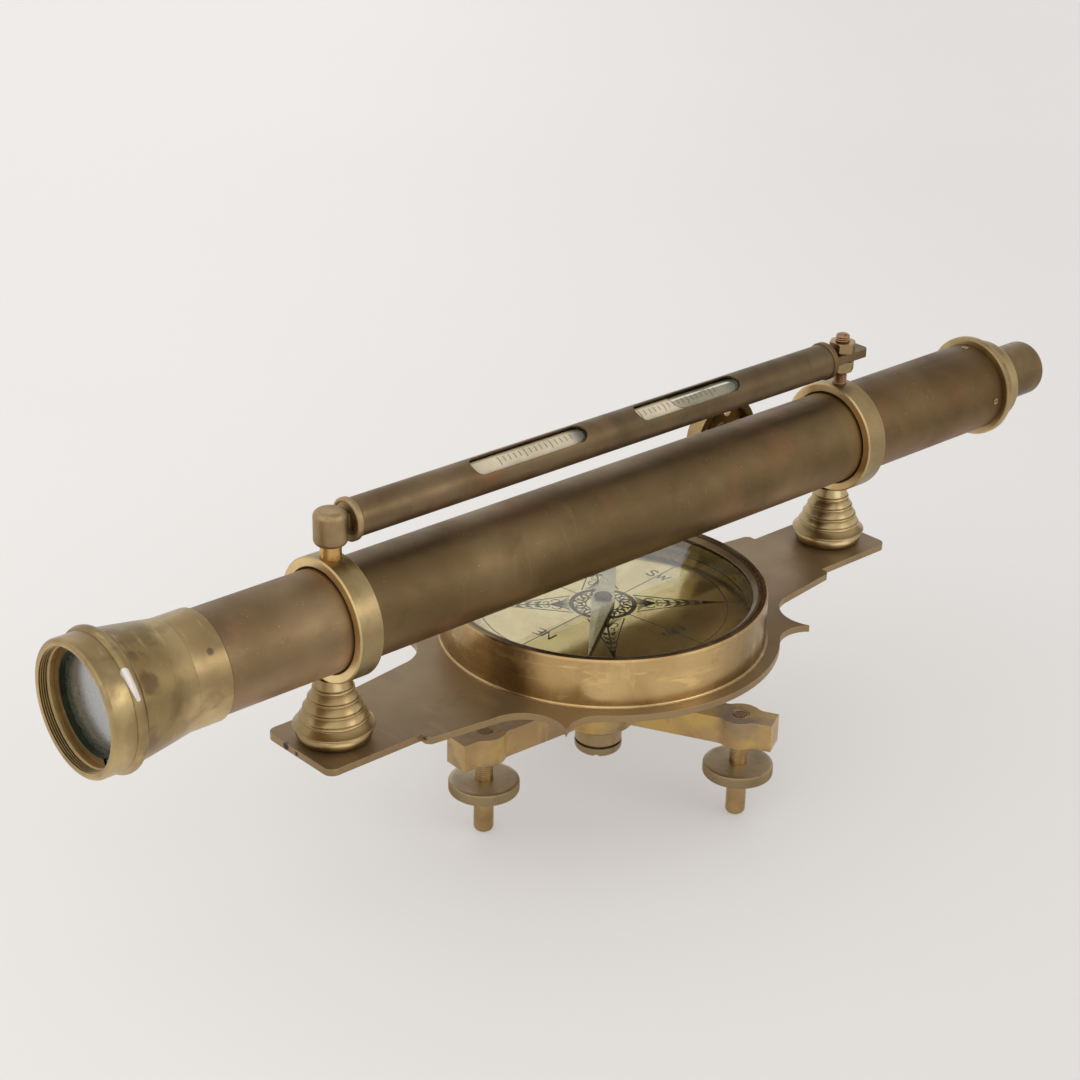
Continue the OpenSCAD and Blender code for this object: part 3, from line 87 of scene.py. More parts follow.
# Node helpers.
class Shader:
    def __init__(self, name):
        self.material = bpy.data.materials.new(name)
        self.material.use_nodes = True
        self.tree = self.material.node_tree
        self.tree.nodes.clear()
        self.out = self.tree.nodes.new("ShaderNodeOutputMaterial")
        place = self.tree.nodes.new("ShaderNodeTexCoord")
        self.coords = place.outputs["Object"]
        self.normals = place.outputs["Normal"]

    def node(self, kind, **props):
        made = self.tree.nodes.new(kind)
        for key, value in props.items():
            setattr(made, key, value)
        return made

    def link(self, source, target):
        self.tree.links.new(source, target)

    def put(self, socket, value):
        if isinstance(value, bpy.types.NodeSocket):
            self.link(value, socket)
        else:
            socket.default_value = value

    def fill(self, made, **sockets):
        for key, value in sockets.items():
            self.put(made.inputs[key.replace("_", " ")], value)

    def scaled(self, x=1.0, y=1.0, z=1.0, turn=(0.0, 0.0, 0.0), shift=(0.0, 0.0, 0.0)):
        made = self.node("ShaderNodeMapping")
        self.fill(made, Vector=self.coords, Scale=(x, y, z), Rotation=turn, Location=shift)
        return made.outputs["Vector"]

    def noise(self, vector, scale, detail=4.0, rough=0.55, distort=0.0):
        made = self.node("ShaderNodeTexNoise")
        self.fill(made, Vector=vector, Scale=scale, Detail=detail, Roughness=rough, Distortion=distort)
        return made.outputs["Fac"]

    def cells(self, vector, scale):
        made = self.node("ShaderNodeTexVoronoi")
        self.fill(made, Vector=vector, Scale=scale)
        return made.outputs["Distance"]

    def ramp(self, value, low, high, start=0.0, end=1.0):
        made = self.node("ShaderNodeMapRange", interpolation_type="SMOOTHSTEP")
        self.fill(made, Value=value, From_Min=low, From_Max=high, To_Min=start, To_Max=end)
        return made.outputs["Result"]

    def math(self, operation, a, b=0.0, c=0.0):
        made = self.node("ShaderNodeMath", operation=operation)
        for socket, value in zip(made.inputs, (a, b, c)):
            self.put(socket, value)
        return made.outputs[0]

    def product(self, result, *factors):
        for factor in factors:
            result = self.math("MULTIPLY", result, factor)
        return result

    def mix(self, factor, a, b, blend="MIX"):
        made = self.node("ShaderNodeMix", data_type="RGBA", blend_type=blend)
        self.put(made.inputs[0], factor)
        self.put(made.inputs[6], a if isinstance(a, bpy.types.NodeSocket) else (*a, 1.0))
        self.put(made.inputs[7], b if isinstance(b, bpy.types.NodeSocket) else (*b, 1.0))
        return made.outputs[2]

    def times(self, tone, tint):
        return self.mix(1.0, tone, tint, "MULTIPLY")

    def tinted(self, tone, tint, factor):
        return self.mix(factor, tone, self.times(tone, tint))

    def blend(self, factor, a, b):
        made = self.node("ShaderNodeMixShader")
        for socket, value in zip(made.inputs, (factor, a, b)):
            self.link(value, socket)
        return made.outputs[0]

    def bump(self, height, strength, distance, normal=None):
        made = self.node("ShaderNodeBump")
        self.fill(made, Strength=strength, Distance=distance, Height=height)
        if normal is not None:
            self.link(normal, made.inputs["Normal"])
        return made.outputs["Normal"]

    def axis(self, name):
        made = self.node("ShaderNodeSeparateXYZ")
        self.link(self.coords, made.inputs[0])
        return made.outputs[name]

    def far_from(self, across, centre=(0.0, 0.0, 0.0)):
        flat = self.node("ShaderNodeVectorMath", operation="MULTIPLY_ADD")
        self.link(self.coords, flat.inputs[0])
        flat.inputs[1].default_value = across
        flat.inputs[2].default_value = tuple(-c * a * MM for c, a in zip(centre, across))
        length = self.node("ShaderNodeVectorMath", operation="LENGTH")
        self.link(flat.outputs[0], length.inputs[0])
        return length.outputs["Value"]

    def dot(self, vector, other):
        made = self.node("ShaderNodeVectorMath", operation="DOT_PRODUCT")
        self.link(vector, made.inputs[0])
        self.put(made.inputs[1], other)
        return made.outputs["Value"]

    def facing(self, direction):
        return self.dot(self.normals, direction)

    def turned_from(self, heading):
        split = self.node("ShaderNodeSeparateXYZ")
        spin = self.node("ShaderNodeVectorRotate", rotation_type="Z_AXIS")
        self.link(self.coords, spin.inputs["Vector"])
        spin.inputs["Angle"].default_value = -math.radians(heading)
        self.link(spin.outputs[0], split.inputs[0])
        return self.math("ABSOLUTE", self.math("ARCTAN2", split.outputs["Y"], split.outputs["X"]))

    def worn_edges(self, radius):
        bevel = self.node("ShaderNodeBevel", samples=4)
        bevel.inputs["Radius"].default_value = radius
        rounded = bevel.outputs["Normal"]
        flat = self.node("ShaderNodeNewGeometry").outputs["Normal"]
        return rounded, self.ramp(self.dot(rounded, flat), 0.985, 0.86)

    # Darkness where the occlusion test finds corners and creases: dirt and painted shade together.
    def crease_dirt_and_shade(self, distance):
        made = self.node("ShaderNodeAmbientOcclusion", samples=6)
        made.inputs["Distance"].default_value = distance
        return self.ramp(made.outputs["AO"], 0.75, 0.25)

    def principled(self, **sockets):
        shader = self.node("ShaderNodeBsdfPrincipled")
        self.fill(shader, **sockets)
        self.link(shader.outputs[0], self.out.inputs["Surface"])


# The coordinates that count for a distance from the X or Z axis, and ways that a face can look.
ROUND_X = (0.0, 1.0, 1.0)
ROUND_Z = (1.0, 1.0, 0.0)
UP = (0.0, 0.0, 1.0)
DOWN = (0.0, 0.0, -1.0)
FRONT = (-1.0, 0.0, 0.0)
# IMAGE_LEFT and NEAR_SIDE face the sides where the pillars get painted shade and a painted highlight.
IMAGE_LEFT = (-0.738, 0.675, 0.0)
IMAGE_RIGHT = (0.738, -0.675, 0.0)
NEAR_SIDE = (-0.42, -0.9, 0.0)

# Reach of soft borders and of the dirt and painted shade in creases, in millimetres.
BORE_EDGE = 0.05
BAND_FADE = 10.0
CREASE_REACH = 2.2


# A colour made lighter or darker, with no channel above the limit.
def toned(colour, gain, limit=1.0):
    return tuple(min(limit, c * gain) for c in colour)


# A brass surface: two tones that drift, stains, a warm blush, specks, pits, dirt with painted shade in
# corners, rubbed edges and tool marks. The facing tints paint light and shade onto the faces that look one
# way, bands tint a length along X, the side darkening round Z is a painted reflection, bore tints the inside
# of a round hole, blotches are soft clouds of a colour and marks are single spots.
def brass(
    name, light, deep, stain, blush, rough, grain, patch=38.0, stains=0.35, blushes=0.3,
    specks=0.25, grain_depth=0.25, edge=0.3, edge_tone=1.35, dirt_and_shade=0.5, painted_light_facing=(), metal=1.0, scratch=0.3,
    painted_dark_reflections=(), blush_scale=(1.0, 1.0, 1.0), bands=(), bore=None, blotches=(), marks=(), stain_size=4.2,
):
    s = Shader(name)
    drift = s.noise(s.coords, patch, detail=3.0, rough=0.5, distort=0.3)
    tone = s.mix(s.ramp(drift, 0.36, 0.64), light, deep)
    cloud = s.noise(s.coords, patch * stain_size, detail=7.0, rough=0.62, distort=0.5)
    tone = s.mix(s.product(s.ramp(cloud, 0.52, 0.72), stains), tone, stain)
    place = s.scaled(*blush_scale, shift=(3.1, 1.7, 0.4))
    warm = s.noise(place, patch * 1.9, detail=4.0, rough=0.6, distort=0.8)
    tone = s.mix(s.product(s.ramp(warm, 0.54, 0.7), blushes), tone, blush)
    for colour, size, share, offset in blotches:
        place = s.scaled(shift=(offset, 2.3 * offset, -offset))
        spread = s.noise(place, size, detail=3.0, rough=0.5, distort=0.4)
        tone = s.mix(s.product(s.ramp(spread, 0.5, 0.62), share), tone, colour)
    # Painted light and shade: faces that look one way are tinted lighter or darker.
    for direction, low, high, tint in painted_light_facing:
        tone = s.tinted(tone, tint, s.ramp(s.facing(direction), low, high))
    if bore is not None:
        across, centre, size, tint = bore
        inside = s.ramp(s.far_from(across, centre), (size + BORE_EDGE) * MM, (size - BORE_EDGE) * MM)
        tone = s.tinted(tone, tint, inside)
    for start, end, tint in bands:
        along = s.math("ADD", s.axis("X"), s.product(s.noise(s.coords, 45.0), BAND_FADE * MM))
        begun = s.ramp(along, start * MM, (start + BAND_FADE) * MM)
        left = s.ramp(along, (end + BAND_FADE) * MM, end * MM)
        tone = s.tinted(tone, tint, s.product(begun, left))
    # Painted reflection: one side round Z is darkened towards a dark tone made from the stain colour.
    for heading, near, far, share in painted_dark_reflections:
        uneven = s.math("MULTIPLY_ADD", s.noise(s.coords, 60.0, detail=3.0), 0.16, -0.08)
        away = s.math("ADD", s.turned_from(heading), uneven)
        shade = s.ramp(away, math.radians(far), math.radians(near), 0.0, share)
        tone = s.mix(shade, tone, toned(stain, 0.5))
    place = s.scaled(260.0, 34.0, 60.0, turn=(0.5, 0.9, 0.4))
    rub = s.ramp(s.noise(place, 1.0, detail=5.0, rough=0.7, distort=0.3), 0.52, 0.68)
    rub_zone = s.ramp(s.noise(s.coords, patch * 1.3, detail=3.0), 0.5, 0.62)
    tone = s.mix(s.product(rub, rub_zone, scratch), tone, toned(light, 1.45, 0.95))
    speck = s.ramp(s.cells(s.coords, 560.0), 0.1, 0.045)
    speck_zone = s.ramp(s.noise(s.coords, 210.0, detail=2.0), 0.49, 0.58)
    tone = s.mix(s.product(speck, speck_zone, specks), tone, toned(light, 2.2))
    place = s.scaled(shift=(0.7, 0.2, 0.9))
    pit = s.ramp(s.cells(place, 330.0), 0.085, 0.03)
    pit_zone = s.ramp(s.noise(s.coords, 95.0, detail=2.0), 0.54, 0.62)
    tone = s.mix(s.product(pit, pit_zone, 0.7), tone, toned(deep, 0.35))
    for spot, size, fade, colour in marks:
        near = s.node("ShaderNodeVectorMath", operation="DISTANCE")
        s.link(s.coords, near.inputs[0])
        near.inputs[1].default_value = tuple(c * MM for c in spot)
        ragged = s.product(s.math("SUBTRACT", s.noise(s.coords, 300.0), 0.5), fade * MM)
        reached = s.math("ADD", near.outputs["Value"], ragged)
        tone = s.mix(s.ramp(reached, size * MM, (size - 0.6 * fade) * MM), tone, colour)
    soft, rubbed = s.worn_edges(edge * MM)
    broken = s.ramp(s.noise(s.coords, 420.0), 0.3, 0.6, 0.35, 1.0)
    tone = s.mix(s.product(rubbed, broken), tone, toned(light, edge_tone, 0.95))
    # Dirt and painted shade in corners and creases.
    tone = s.mix(s.product(s.crease_dirt_and_shade(CREASE_REACH * MM), dirt_and_shade), tone, toned(deep, 0.22))
    tooling = s.noise(s.scaled(*grain), 1.0, detail=3.0, rough=0.6)
    smear = s.noise(s.coords, patch * 2.6, detail=5.0, rough=0.6)
    smeared = s.ramp(smear, 0.3, 0.7, rough - 0.07, rough + 0.09)
    roughness = s.math("ADD", smeared, s.product(tooling, 0.06))
    normal = s.bump(tooling, grain_depth, 0.03 * MM, soft)
    normal = s.bump(cloud, 0.25, 0.12 * MM, normal)
    s.principled(Base_Color=tone, Metallic=metal, Roughness=roughness, Normal=normal)
    return s.material


# Scales of the tool marks: rings round an axis, a tube drawn along X, or brushing.
RINGS_X = (2600.0, 30.0, 30.0)
RINGS_Z = (30.0, 30.0, 2600.0)
RINGS_Y = (30.0, 2600.0, 30.0)
DRAWN_X = (18.0, 900.0, 900.0)
BRUSHED = (90.0, 1500.0, 1500.0)

# The tube's top is painted a little darker and its underside lighter: painted light and shade.
tube_brass = brass(
    "tube_brass", light=(0.250, 0.172, 0.086), deep=(0.170, 0.112, 0.052),
    stain=(0.125, 0.079, 0.038), blush=(0.300, 0.140, 0.070), rough=0.47, grain=DRAWN_X,
    patch=20.0, stains=0.3, blushes=0.4, specks=1.0, grain_depth=0.12, scratch=0.12,
    bands=(
        (-210.0, -126.0, (1.28, 1.32, 1.46)),
        (-116.0, 112.0, (0.86, 0.86, 0.84)),
        (126.0, 204.0, (0.70, 0.65, 0.58)),
    ),
    painted_light_facing=((UP, 0.7, 0.98, (0.92, 0.92, 0.94)), (DOWN, -0.1, 0.5, (1.5, 1.44, 1.5))),
    bore=(ROUND_X, (0.0, 0.0, TUBE_Z), 17.0, (0.16, 0.22, 0.22)),
)
# The level tube's underside is painted lighter: painted light.
level_brass = brass(
    "level_brass", light=(0.205, 0.142, 0.078), deep=(0.148, 0.098, 0.050),
    stain=(0.110, 0.070, 0.038), blush=(0.270, 0.120, 0.062), rough=0.42, grain=DRAWN_X,
    patch=34.0, blushes=0.45, specks=0.6, grain_depth=0.12, scratch=0.12, dirt_and_shade=0.25,
    bands=((-5.0, 110.0, (0.73, 0.75, 0.73)),), painted_light_facing=((DOWN, -0.2, 0.5, (1.35, 1.35, 1.45)),),
)
eye_brass = brass(
    "eye_brass", light=(0.210, 0.142, 0.066), deep=(0.152, 0.100, 0.046),
    stain=(0.110, 0.072, 0.037), blush=(0.225, 0.122, 0.058), rough=0.34, grain=RINGS_X,
    patch=40.0, blushes=0.2, specks=0.3,
)


def fractions(steps):
    return [k / steps for k in range(steps + 1)]


# A pale mark on the bead behind the front cell: a row of spots that grow smaller.
def pale_bead_mark():
    spots = []
    for t in fractions(10):
        turn = math.radians(44.0 + 22.0 * t)
        r = 22.7 + 0.6 * t
        at = (-208.25 + 0.6 * t * t, -r * math.sin(turn), TUBE_Z + r * math.cos(turn))
        spots.append((at, 1.45 - 0.65 * t, 0.4, (0.660, 0.610, 0.570)))
    return spots


# The cell's downward faces are painted lighter: painted light.
cell_brass = brass(
    "cell_brass", light=(0.445, 0.338, 0.165), deep=(0.310, 0.218, 0.102),
    stain=(0.185, 0.120, 0.062), blush=(0.420, 0.240, 0.120), rough=0.32, grain=RINGS_X,
    patch=30.0, stains=0.75, blushes=0.35, specks=0.35, scratch=0.5, dirt_and_shade=0.15,
    stain_size=2.4, bands=((-208.0, -190.0, (0.60, 0.57, 0.52)),),
    blotches=(((0.250, 0.180, 0.090), 75.0, 0.5, 1.0),),
    bore=(ROUND_X, (0.0, 0.0, TUBE_Z), 17.2, (0.09, 0.14, 0.14)),
    painted_light_facing=((DOWN, -0.35, 0.4, (1.56, 1.58, 1.66)),),
    marks=(
        ((-201.8, -17.9, 119.4), 4.6, 4.6, (0.130, 0.082, 0.042)),
        ((-204.3, -20.4, 101.0), 5.0, 5.0, (0.250, 0.160, 0.090)),
        ((-177.4, -14.0, 119.9), 1.6, 1.2, (0.150, 0.104, 0.064)),
        *pale_bead_mark(),
    ),
)
# The retainer's front faces are painted much lighter than the rest of the ring: painted light.
retainer_brass = brass(
    "retainer_brass", light=(0.040, 0.044, 0.024), deep=(0.028, 0.032, 0.018),
    stain=(0.022, 0.024, 0.014), blush=(0.070, 0.072, 0.024), rough=0.3, grain=RINGS_X,
    patch=60.0, stains=0.4, specks=0.1, edge=0.1, dirt_and_shade=0.2, scratch=0.0,
    painted_light_facing=((FRONT, 0.6, 0.95, (10.0, 6.0, 5.0)),),
)
# The collars' tops are painted a little darker and their front faces much lighter: painted light and shade.
collar_brass = brass(
    "collar_brass", light=(0.375, 0.285, 0.138), deep=(0.300, 0.220, 0.105),
    stain=(0.230, 0.156, 0.080), blush=(0.420, 0.270, 0.165), rough=0.33, grain=RINGS_X,
    patch=45.0, specks=0.3, edge_tone=1.6,
    painted_light_facing=((UP, 0.3, 0.95, (0.92, 0.9, 0.88)), (FRONT, 0.5, 0.95, (2.4, 2.4, 2.5))),
)
cap_brass = brass(
    "cap_brass", light=(0.400, 0.288, 0.149), deep=(0.320, 0.226, 0.116),
    stain=(0.205, 0.140, 0.075), blush=(0.390, 0.250, 0.140), rough=0.42, grain=RINGS_Z,
    patch=70.0, stains=0.45, specks=0.3, edge=0.5, edge_tone=1.5, dirt_and_shade=0.2,
)
# The pillars are painted darker on their left side with a painted highlight down the near side, and the band
# along X paints the rear pillar lighter: painted light and shade.
pillar_brass = brass(
    "pillar_brass", light=(0.420, 0.306, 0.150), deep=(0.340, 0.240, 0.112),
    stain=(0.270, 0.178, 0.085), blush=(0.470, 0.290, 0.140), rough=0.31, grain=RINGS_Z,
    patch=48.0, stains=0.2, blushes=0.1, specks=0.2, dirt_and_shade=0.0,
    painted_light_facing=((IMAGE_LEFT, -0.3, 0.25, (0.78, 0.78, 0.77)), (NEAR_SIDE, 0.90, 0.985, (2.05, 2.15, 2.3))),
    bands=((95.0, 150.0, (1.26, 1.33, 1.46)),),
)
# The bowl's top faces are painted darker, and three sides round Z are darkened as painted reflections:
# painted shade.
bowl_brass = brass(
    "bowl_brass", light=(0.622, 0.432, 0.198), deep=(0.508, 0.338, 0.147),
    stain=(0.290, 0.180, 0.078), blush=(0.860, 0.590, 0.250), rough=0.26, grain=RINGS_Z,
    patch=30.0, blushes=0.75, specks=0.3, dirt_and_shade=0.2,
    edge=0.15, edge_tone=0.8, blush_scale=(0.7, 0.7, 3.2),
    painted_light_facing=((UP, 0.75, 0.95, (0.450, 0.440, 0.490)),),
    painted_dark_reflections=((194.0, 5.0, 10.0, 0.52), (162.0, 18.0, 38.0, 0.3), (-62.0, 10.0, 44.0, 0.6)),
    bore=(ROUND_Z, (0.0, 0.0, 0.0), 56.9, (0.34, 0.36, 0.38)),
)
# The plate's top faces are painted a little darker: painted shade.
plate_brass = brass(
    "plate_brass", light=(0.311, 0.213, 0.102), deep=(0.258, 0.170, 0.080),
    stain=(0.173, 0.106, 0.051), blush=(0.313, 0.177, 0.094), rough=0.36, grain=BRUSHED,
    patch=14.0, blushes=0.25, specks=0.45, edge=0.4, edge_tone=1.3, dirt_and_shade=0.0, metal=0.6,
    painted_light_facing=((UP, 0.75, 0.95, (0.84, 0.86, 0.90)),),
    marks=(
        ((-136.0, 6.3, 62.9), 1.7, 1.2, (0.030, 0.024, 0.018)),
        ((-136.0, 0.6, 62.6), 1.1, 0.9, (0.030, 0.024, 0.018)),
        ((-98.1, -19.6, 63.4), 1.0, 0.7, (0.055, 0.040, 0.026)),
    ),
)
bezel_brass = brass(
    "bezel_brass", light=(0.220, 0.158, 0.086), deep=(0.165, 0.116, 0.064),
    stain=(0.110, 0.080, 0.050), blush=(0.230, 0.145, 0.080), rough=0.32, grain=RINGS_Z,
    patch=40.0, stains=0.4, specks=0.3,
)
# The tops are painted lighter and greyer: painted light. The blotches give golden and grey patches on the
# arms: tarnish colour and painted reflections together.
base_brass = brass(
    "base_brass", light=(0.485, 0.325, 0.142), deep=(0.400, 0.262, 0.118),
    stain=(0.270, 0.185, 0.100), blush=(0.540, 0.290, 0.160), rough=0.33, grain=BRUSHED,
    patch=52.0, stains=0.45, blushes=0.6, specks=0.3, edge=0.4, edge_tone=1.4,
    blotches=(((0.630, 0.420, 0.110), 48.0, 0.6, 1.0), ((0.260, 0.200, 0.125), 62.0, 0.6, 2.0)),
    painted_light_facing=((UP, 0.75, 0.95, (1.330, 1.600, 2.600)),), metal=0.78,
)
# The screws' tops are painted lighter and greyer: painted light.
screw_brass = brass(
    "screw_brass", light=(0.330, 0.244, 0.128), deep=(0.270, 0.192, 0.100),
    stain=(0.150, 0.100, 0.054), blush=(0.340, 0.210, 0.110), rough=0.34, grain=RINGS_Z,
    patch=60.0, stains=0.4, specks=0.3, dirt_and_shade=0.9, edge=0.05, edge_tone=1.3, metal=0.85,
    painted_light_facing=((UP, 0.9, 0.99, (1.33, 1.52, 1.96)), (UP, 0.25, 0.6, (1.15, 1.15, 1.15))),
)
# The feet's tops are painted lighter and greyer: painted light.
foot_brass = brass(
    "foot_brass", light=(0.440, 0.300, 0.135), deep=(0.340, 0.225, 0.100),
    stain=(0.210, 0.135, 0.066), blush=(0.430, 0.240, 0.110), rough=0.22, grain=RINGS_Z,
    patch=70.0, stains=0.45, specks=0.3, dirt_and_shade=0.2, painted_light_facing=((UP, 0.75, 0.95, (1.2, 1.4, 2.3)),),
)
small_brass = brass(
    "small_brass", light=(0.400, 0.288, 0.145), deep=(0.320, 0.225, 0.112),
    stain=(0.210, 0.140, 0.072), blush=(0.390, 0.240, 0.125), rough=0.3, grain=RINGS_Z,
    patch=90.0, stains=0.5, specks=0.3, edge=0.2, dirt_and_shade=0.85, edge_tone=1.5,
)
wheel_brass = brass(
    "wheel_brass", light=(0.400, 0.285, 0.130), deep=(0.310, 0.216, 0.098),
    stain=(0.195, 0.130, 0.064), blush=(0.390, 0.230, 0.110), rough=0.29, grain=RINGS_Y,
    patch=60.0, stains=0.45, specks=0.3, dirt_and_shade=0.85,
)
post_brass = brass(
    "post_brass", light=(0.640, 0.385, 0.140), deep=(0.500, 0.285, 0.100),
    stain=(0.300, 0.160, 0.060), blush=(0.720, 0.420, 0.160), rough=0.24, grain=RINGS_Z,
    patch=90.0, stains=0.4, blushes=0.4, specks=0.2, edge=0.15, dirt_and_shade=0.4,
)
stud_copper = brass(
    "stud_copper", light=(0.330, 0.185, 0.095), deep=(0.230, 0.124, 0.064),
    stain=(0.130, 0.072, 0.042), blush=(0.420, 0.215, 0.110), rough=0.26, grain=RINGS_Z,
    patch=90.0, stains=0.5, specks=0.2, edge=0.12, edge_tone=1.2, dirt_and_shade=0.85,
)
dark_bore = brass(
    "dark_bore", light=(0.060, 0.058, 0.036), deep=(0.040, 0.040, 0.026),
    stain=(0.025, 0.025, 0.018), blush=(0.070, 0.060, 0.030), rough=0.5, grain=RINGS_X,
    patch=40.0, stains=0.4, specks=0.1,
)


def steel_material():
    s = Shader("needle_steel")
    drift = s.noise(s.coords, 90.0, detail=5.0, rough=0.6)
    tone = s.mix(s.ramp(drift, 0.35, 0.65), (0.680, 0.600, 0.415), (0.575, 0.500, 0.340))
    spots = s.ramp(s.noise(s.coords, 420.0, detail=5.0), 0.6, 0.72)
    tone = s.mix(s.product(spots, 0.5), tone, (0.300, 0.230, 0.150))
    soft, rubbed = s.worn_edges(0.15 * MM)
    tone = s.mix(s.product(rubbed, 0.6), tone, (0.75, 0.72, 0.65))
    # The needle's underside is painted nearly black: painted shade, which the dial mirrors.
    tone = s.mix(s.ramp(s.facing(DOWN), 0.3, 0.8), tone, (0.012, 0.013, 0.016))
    marks = s.noise(s.scaled(700.0, 700.0, 700.0), 1.0, detail=3.0)
    s.principled(
        Base_Color=tone, Metallic=0.45, Roughness=s.ramp(drift, 0.3, 0.7, 0.2, 0.34),
        Normal=s.bump(marks, 0.2, 0.02 * MM, soft),
    )
    return s.material


def dial_material():
    s = Shader("dial_silvered")
    drift = s.noise(s.coords, 28.0, detail=5.0, rough=0.6, distort=0.6)
    tone = s.mix(s.ramp(drift, 0.34, 0.66), (0.840, 0.700, 0.400), (0.710, 0.560, 0.290))
    cloud = s.noise(s.coords, 130.0, detail=7.0, rough=0.65, distort=0.6)
    tone = s.mix(s.product(s.ramp(cloud, 0.55, 0.75), 0.45), tone, (0.330, 0.255, 0.110))
    away = s.far_from(ROUND_Z)
    edge = s.product(s.ramp(away, 43.0 * MM, 54.0 * MM), s.ramp(cloud, 0.3, 0.6, 0.35, 0.85))
    tone = s.mix(edge, tone, (0.215, 0.215, 0.130))
    green = s.ramp(s.noise(s.coords, 80.0, detail=5.0), 0.5, 0.66)
    green_edge = s.product(s.ramp(away, 47.0 * MM, 54.0 * MM), green, 0.7)
    tone = s.mix(green_edge, tone, (0.150, 0.235, 0.190))
    specks = s.ramp(s.cells(s.coords, 420.0), 0.09, 0.03)
    speck_zone = s.ramp(s.noise(s.coords, 120.0, detail=2.0), 0.56, 0.64)
    tone = s.mix(s.product(specks, speck_zone), tone, (0.120, 0.090, 0.045))
    marks = s.noise(s.scaled(900.0, 900.0, 900.0), 1.0, detail=3.0)
    s.principled(
        Base_Color=tone, Metallic=0.93, Roughness=s.ramp(cloud, 0.3, 0.7, 0.08, 0.16),
        Normal=s.bump(marks, 0.05, 0.01 * MM),
    )
    return s.material


# A plain surface of two tones that drift.
def two_tone(name, size, detail, spread, light, deep, rough, depth):
    s = Shader(name)
    drift = s.noise(s.coords, size, detail=detail, rough=0.6)
    s.principled(
        Base_Color=s.mix(s.ramp(drift, *spread), light, deep),
        Roughness=s.ramp(drift, 0.3, 0.7, *rough),
        Normal=s.bump(drift, depth, 0.02 * MM),
    )
    return s.material


# Clear glass: light goes straight through, and the surface mirrors by angle. Where the surface faces the
# given glint direction it mirrors far more strongly: a painted highlight line.
def clear_glass(name, tint, dust_tone, dust_amount, index, rough, painted_glint_facing=None):
    s = Shader(name)
    smear = s.noise(s.coords, 60.0, detail=6.0, rough=0.65, distort=0.8)
    through = s.node("ShaderNodeBsdfTransparent")
    s.link(s.mix(s.ramp(smear, 0.4, 0.75), tint, toned(tint, 0.93)), through.inputs["Color"])
    shine = s.node("ShaderNodeBsdfGlossy")
    shine.inputs["Color"].default_value = (1.0, 1.0, 1.0, 1.0)
    s.link(s.ramp(smear, 0.35, 0.75, rough, rough + 0.05), shine.inputs["Roughness"])
    ripple = s.bump(s.noise(s.coords, 35.0, detail=2.0), 0.05, 0.05 * MM)
    s.link(ripple, shine.inputs["Normal"])
    slant = s.node("ShaderNodeLayerWeight")
    slant.inputs["Blend"].default_value = 0.5
    s.link(ripple, slant.inputs["Normal"])
    least = ((index - 1.0) / (index + 1.0)) ** 2
    steep = s.math("POWER", slant.outputs["Facing"], 5.0)
    mirror = s.math("MULTIPLY_ADD", steep, 1.0 - least, least)
    # Painted highlight: the glass mirrors strongly where it faces the glint direction.
    if painted_glint_facing is not None:
        mirror = s.math("MAXIMUM", mirror, s.ramp(s.facing(painted_glint_facing), 0.9955, 0.9985, 0.0, 0.85))
    body = s.blend(mirror, through.outputs[0], shine.outputs[0])
    dust = s.node("ShaderNodeBsdfDiffuse")
    dust.inputs["Color"].default_value = (*dust_tone, 1.0)
    grains = s.ramp(s.noise(s.coords, 900.0, detail=4.0, rough=0.7), 0.5, 0.8)
    film = s.product(grains, s.ramp(smear, 0.35, 0.7), dust_amount)
    s.link(s.blend(film, body, dust.outputs[0]), s.out.inputs["Surface"])
    return s.material


window_glass = clear_glass(
    "compass_glass", tint=(0.955, 0.965, 0.935), dust_tone=(0.5, 0.47, 0.4), dust_amount=0.05,
    index=1.5, rough=0.01,
)
lens_glass = clear_glass(
    "lens_glass", tint=(0.800, 0.860, 0.740), dust_tone=(0.52, 0.51, 0.47), dust_amount=0.01,
    index=4.6, rough=0.24,
)
vial_glass = clear_glass(
    "vial_glass", tint=(0.960, 0.975, 0.940), dust_tone=(0.6, 0.6, 0.5), dust_amount=0.04,
    index=1.6, rough=0.015,
)
# The bubble carries a painted highlight line along its top.
bubble_glass = clear_glass(
    "bubble_glass", tint=(0.810, 0.785, 0.725), dust_tone=(0.5, 0.5, 0.45), dust_amount=0.02,
    index=1.5, rough=0.015, painted_glint_facing=(0.0, -0.242, 0.970),
)


def bed_material():
    s = Shader("vial_backing")
    drift = s.noise(s.coords, 120.0, detail=6.0, rough=0.6, distort=0.4)
    tone = s.mix(s.ramp(drift, 0.35, 0.65), (0.700, 0.590, 0.452), (0.628, 0.522, 0.380))
    fibre = s.noise(s.scaled(500.0, 1800.0, 1800.0), 1.0)
    tone = s.mix(s.product(s.ramp(fibre, 0.55, 0.75), 0.3), tone, (0.560, 0.480, 0.330))
    front, rear = WINDOW_X["front"], WINDOW_X["rear"]
    along = s.axis("X")
    # Painted shade: the backing is darkened towards the vial ends and greyed under the rear bubble.
    for start, end, painted_shade_tone in (
        (front + 17.0, front + 24.0, (0.090, 0.085, 0.070)),
        (rear - 7.0, rear - 2.0, (0.440, 0.395, 0.310)),
        (rear + 17.0, rear + 25.0, (0.150, 0.155, 0.120)),
    ):
        past = s.ramp(along, start * MM, end * MM)
        if start < 0.0:
            past = s.product(past, s.ramp(along, 0.0, -1.0 * MM))
        tone = s.mix(past, tone, painted_shade_tone)
    s.principled(
        Base_Color=tone, Roughness=s.ramp(drift, 0.3, 0.7, 0.6, 0.8),
        Normal=s.bump(fibre, 0.25, 0.03 * MM),
    )
    return s.material


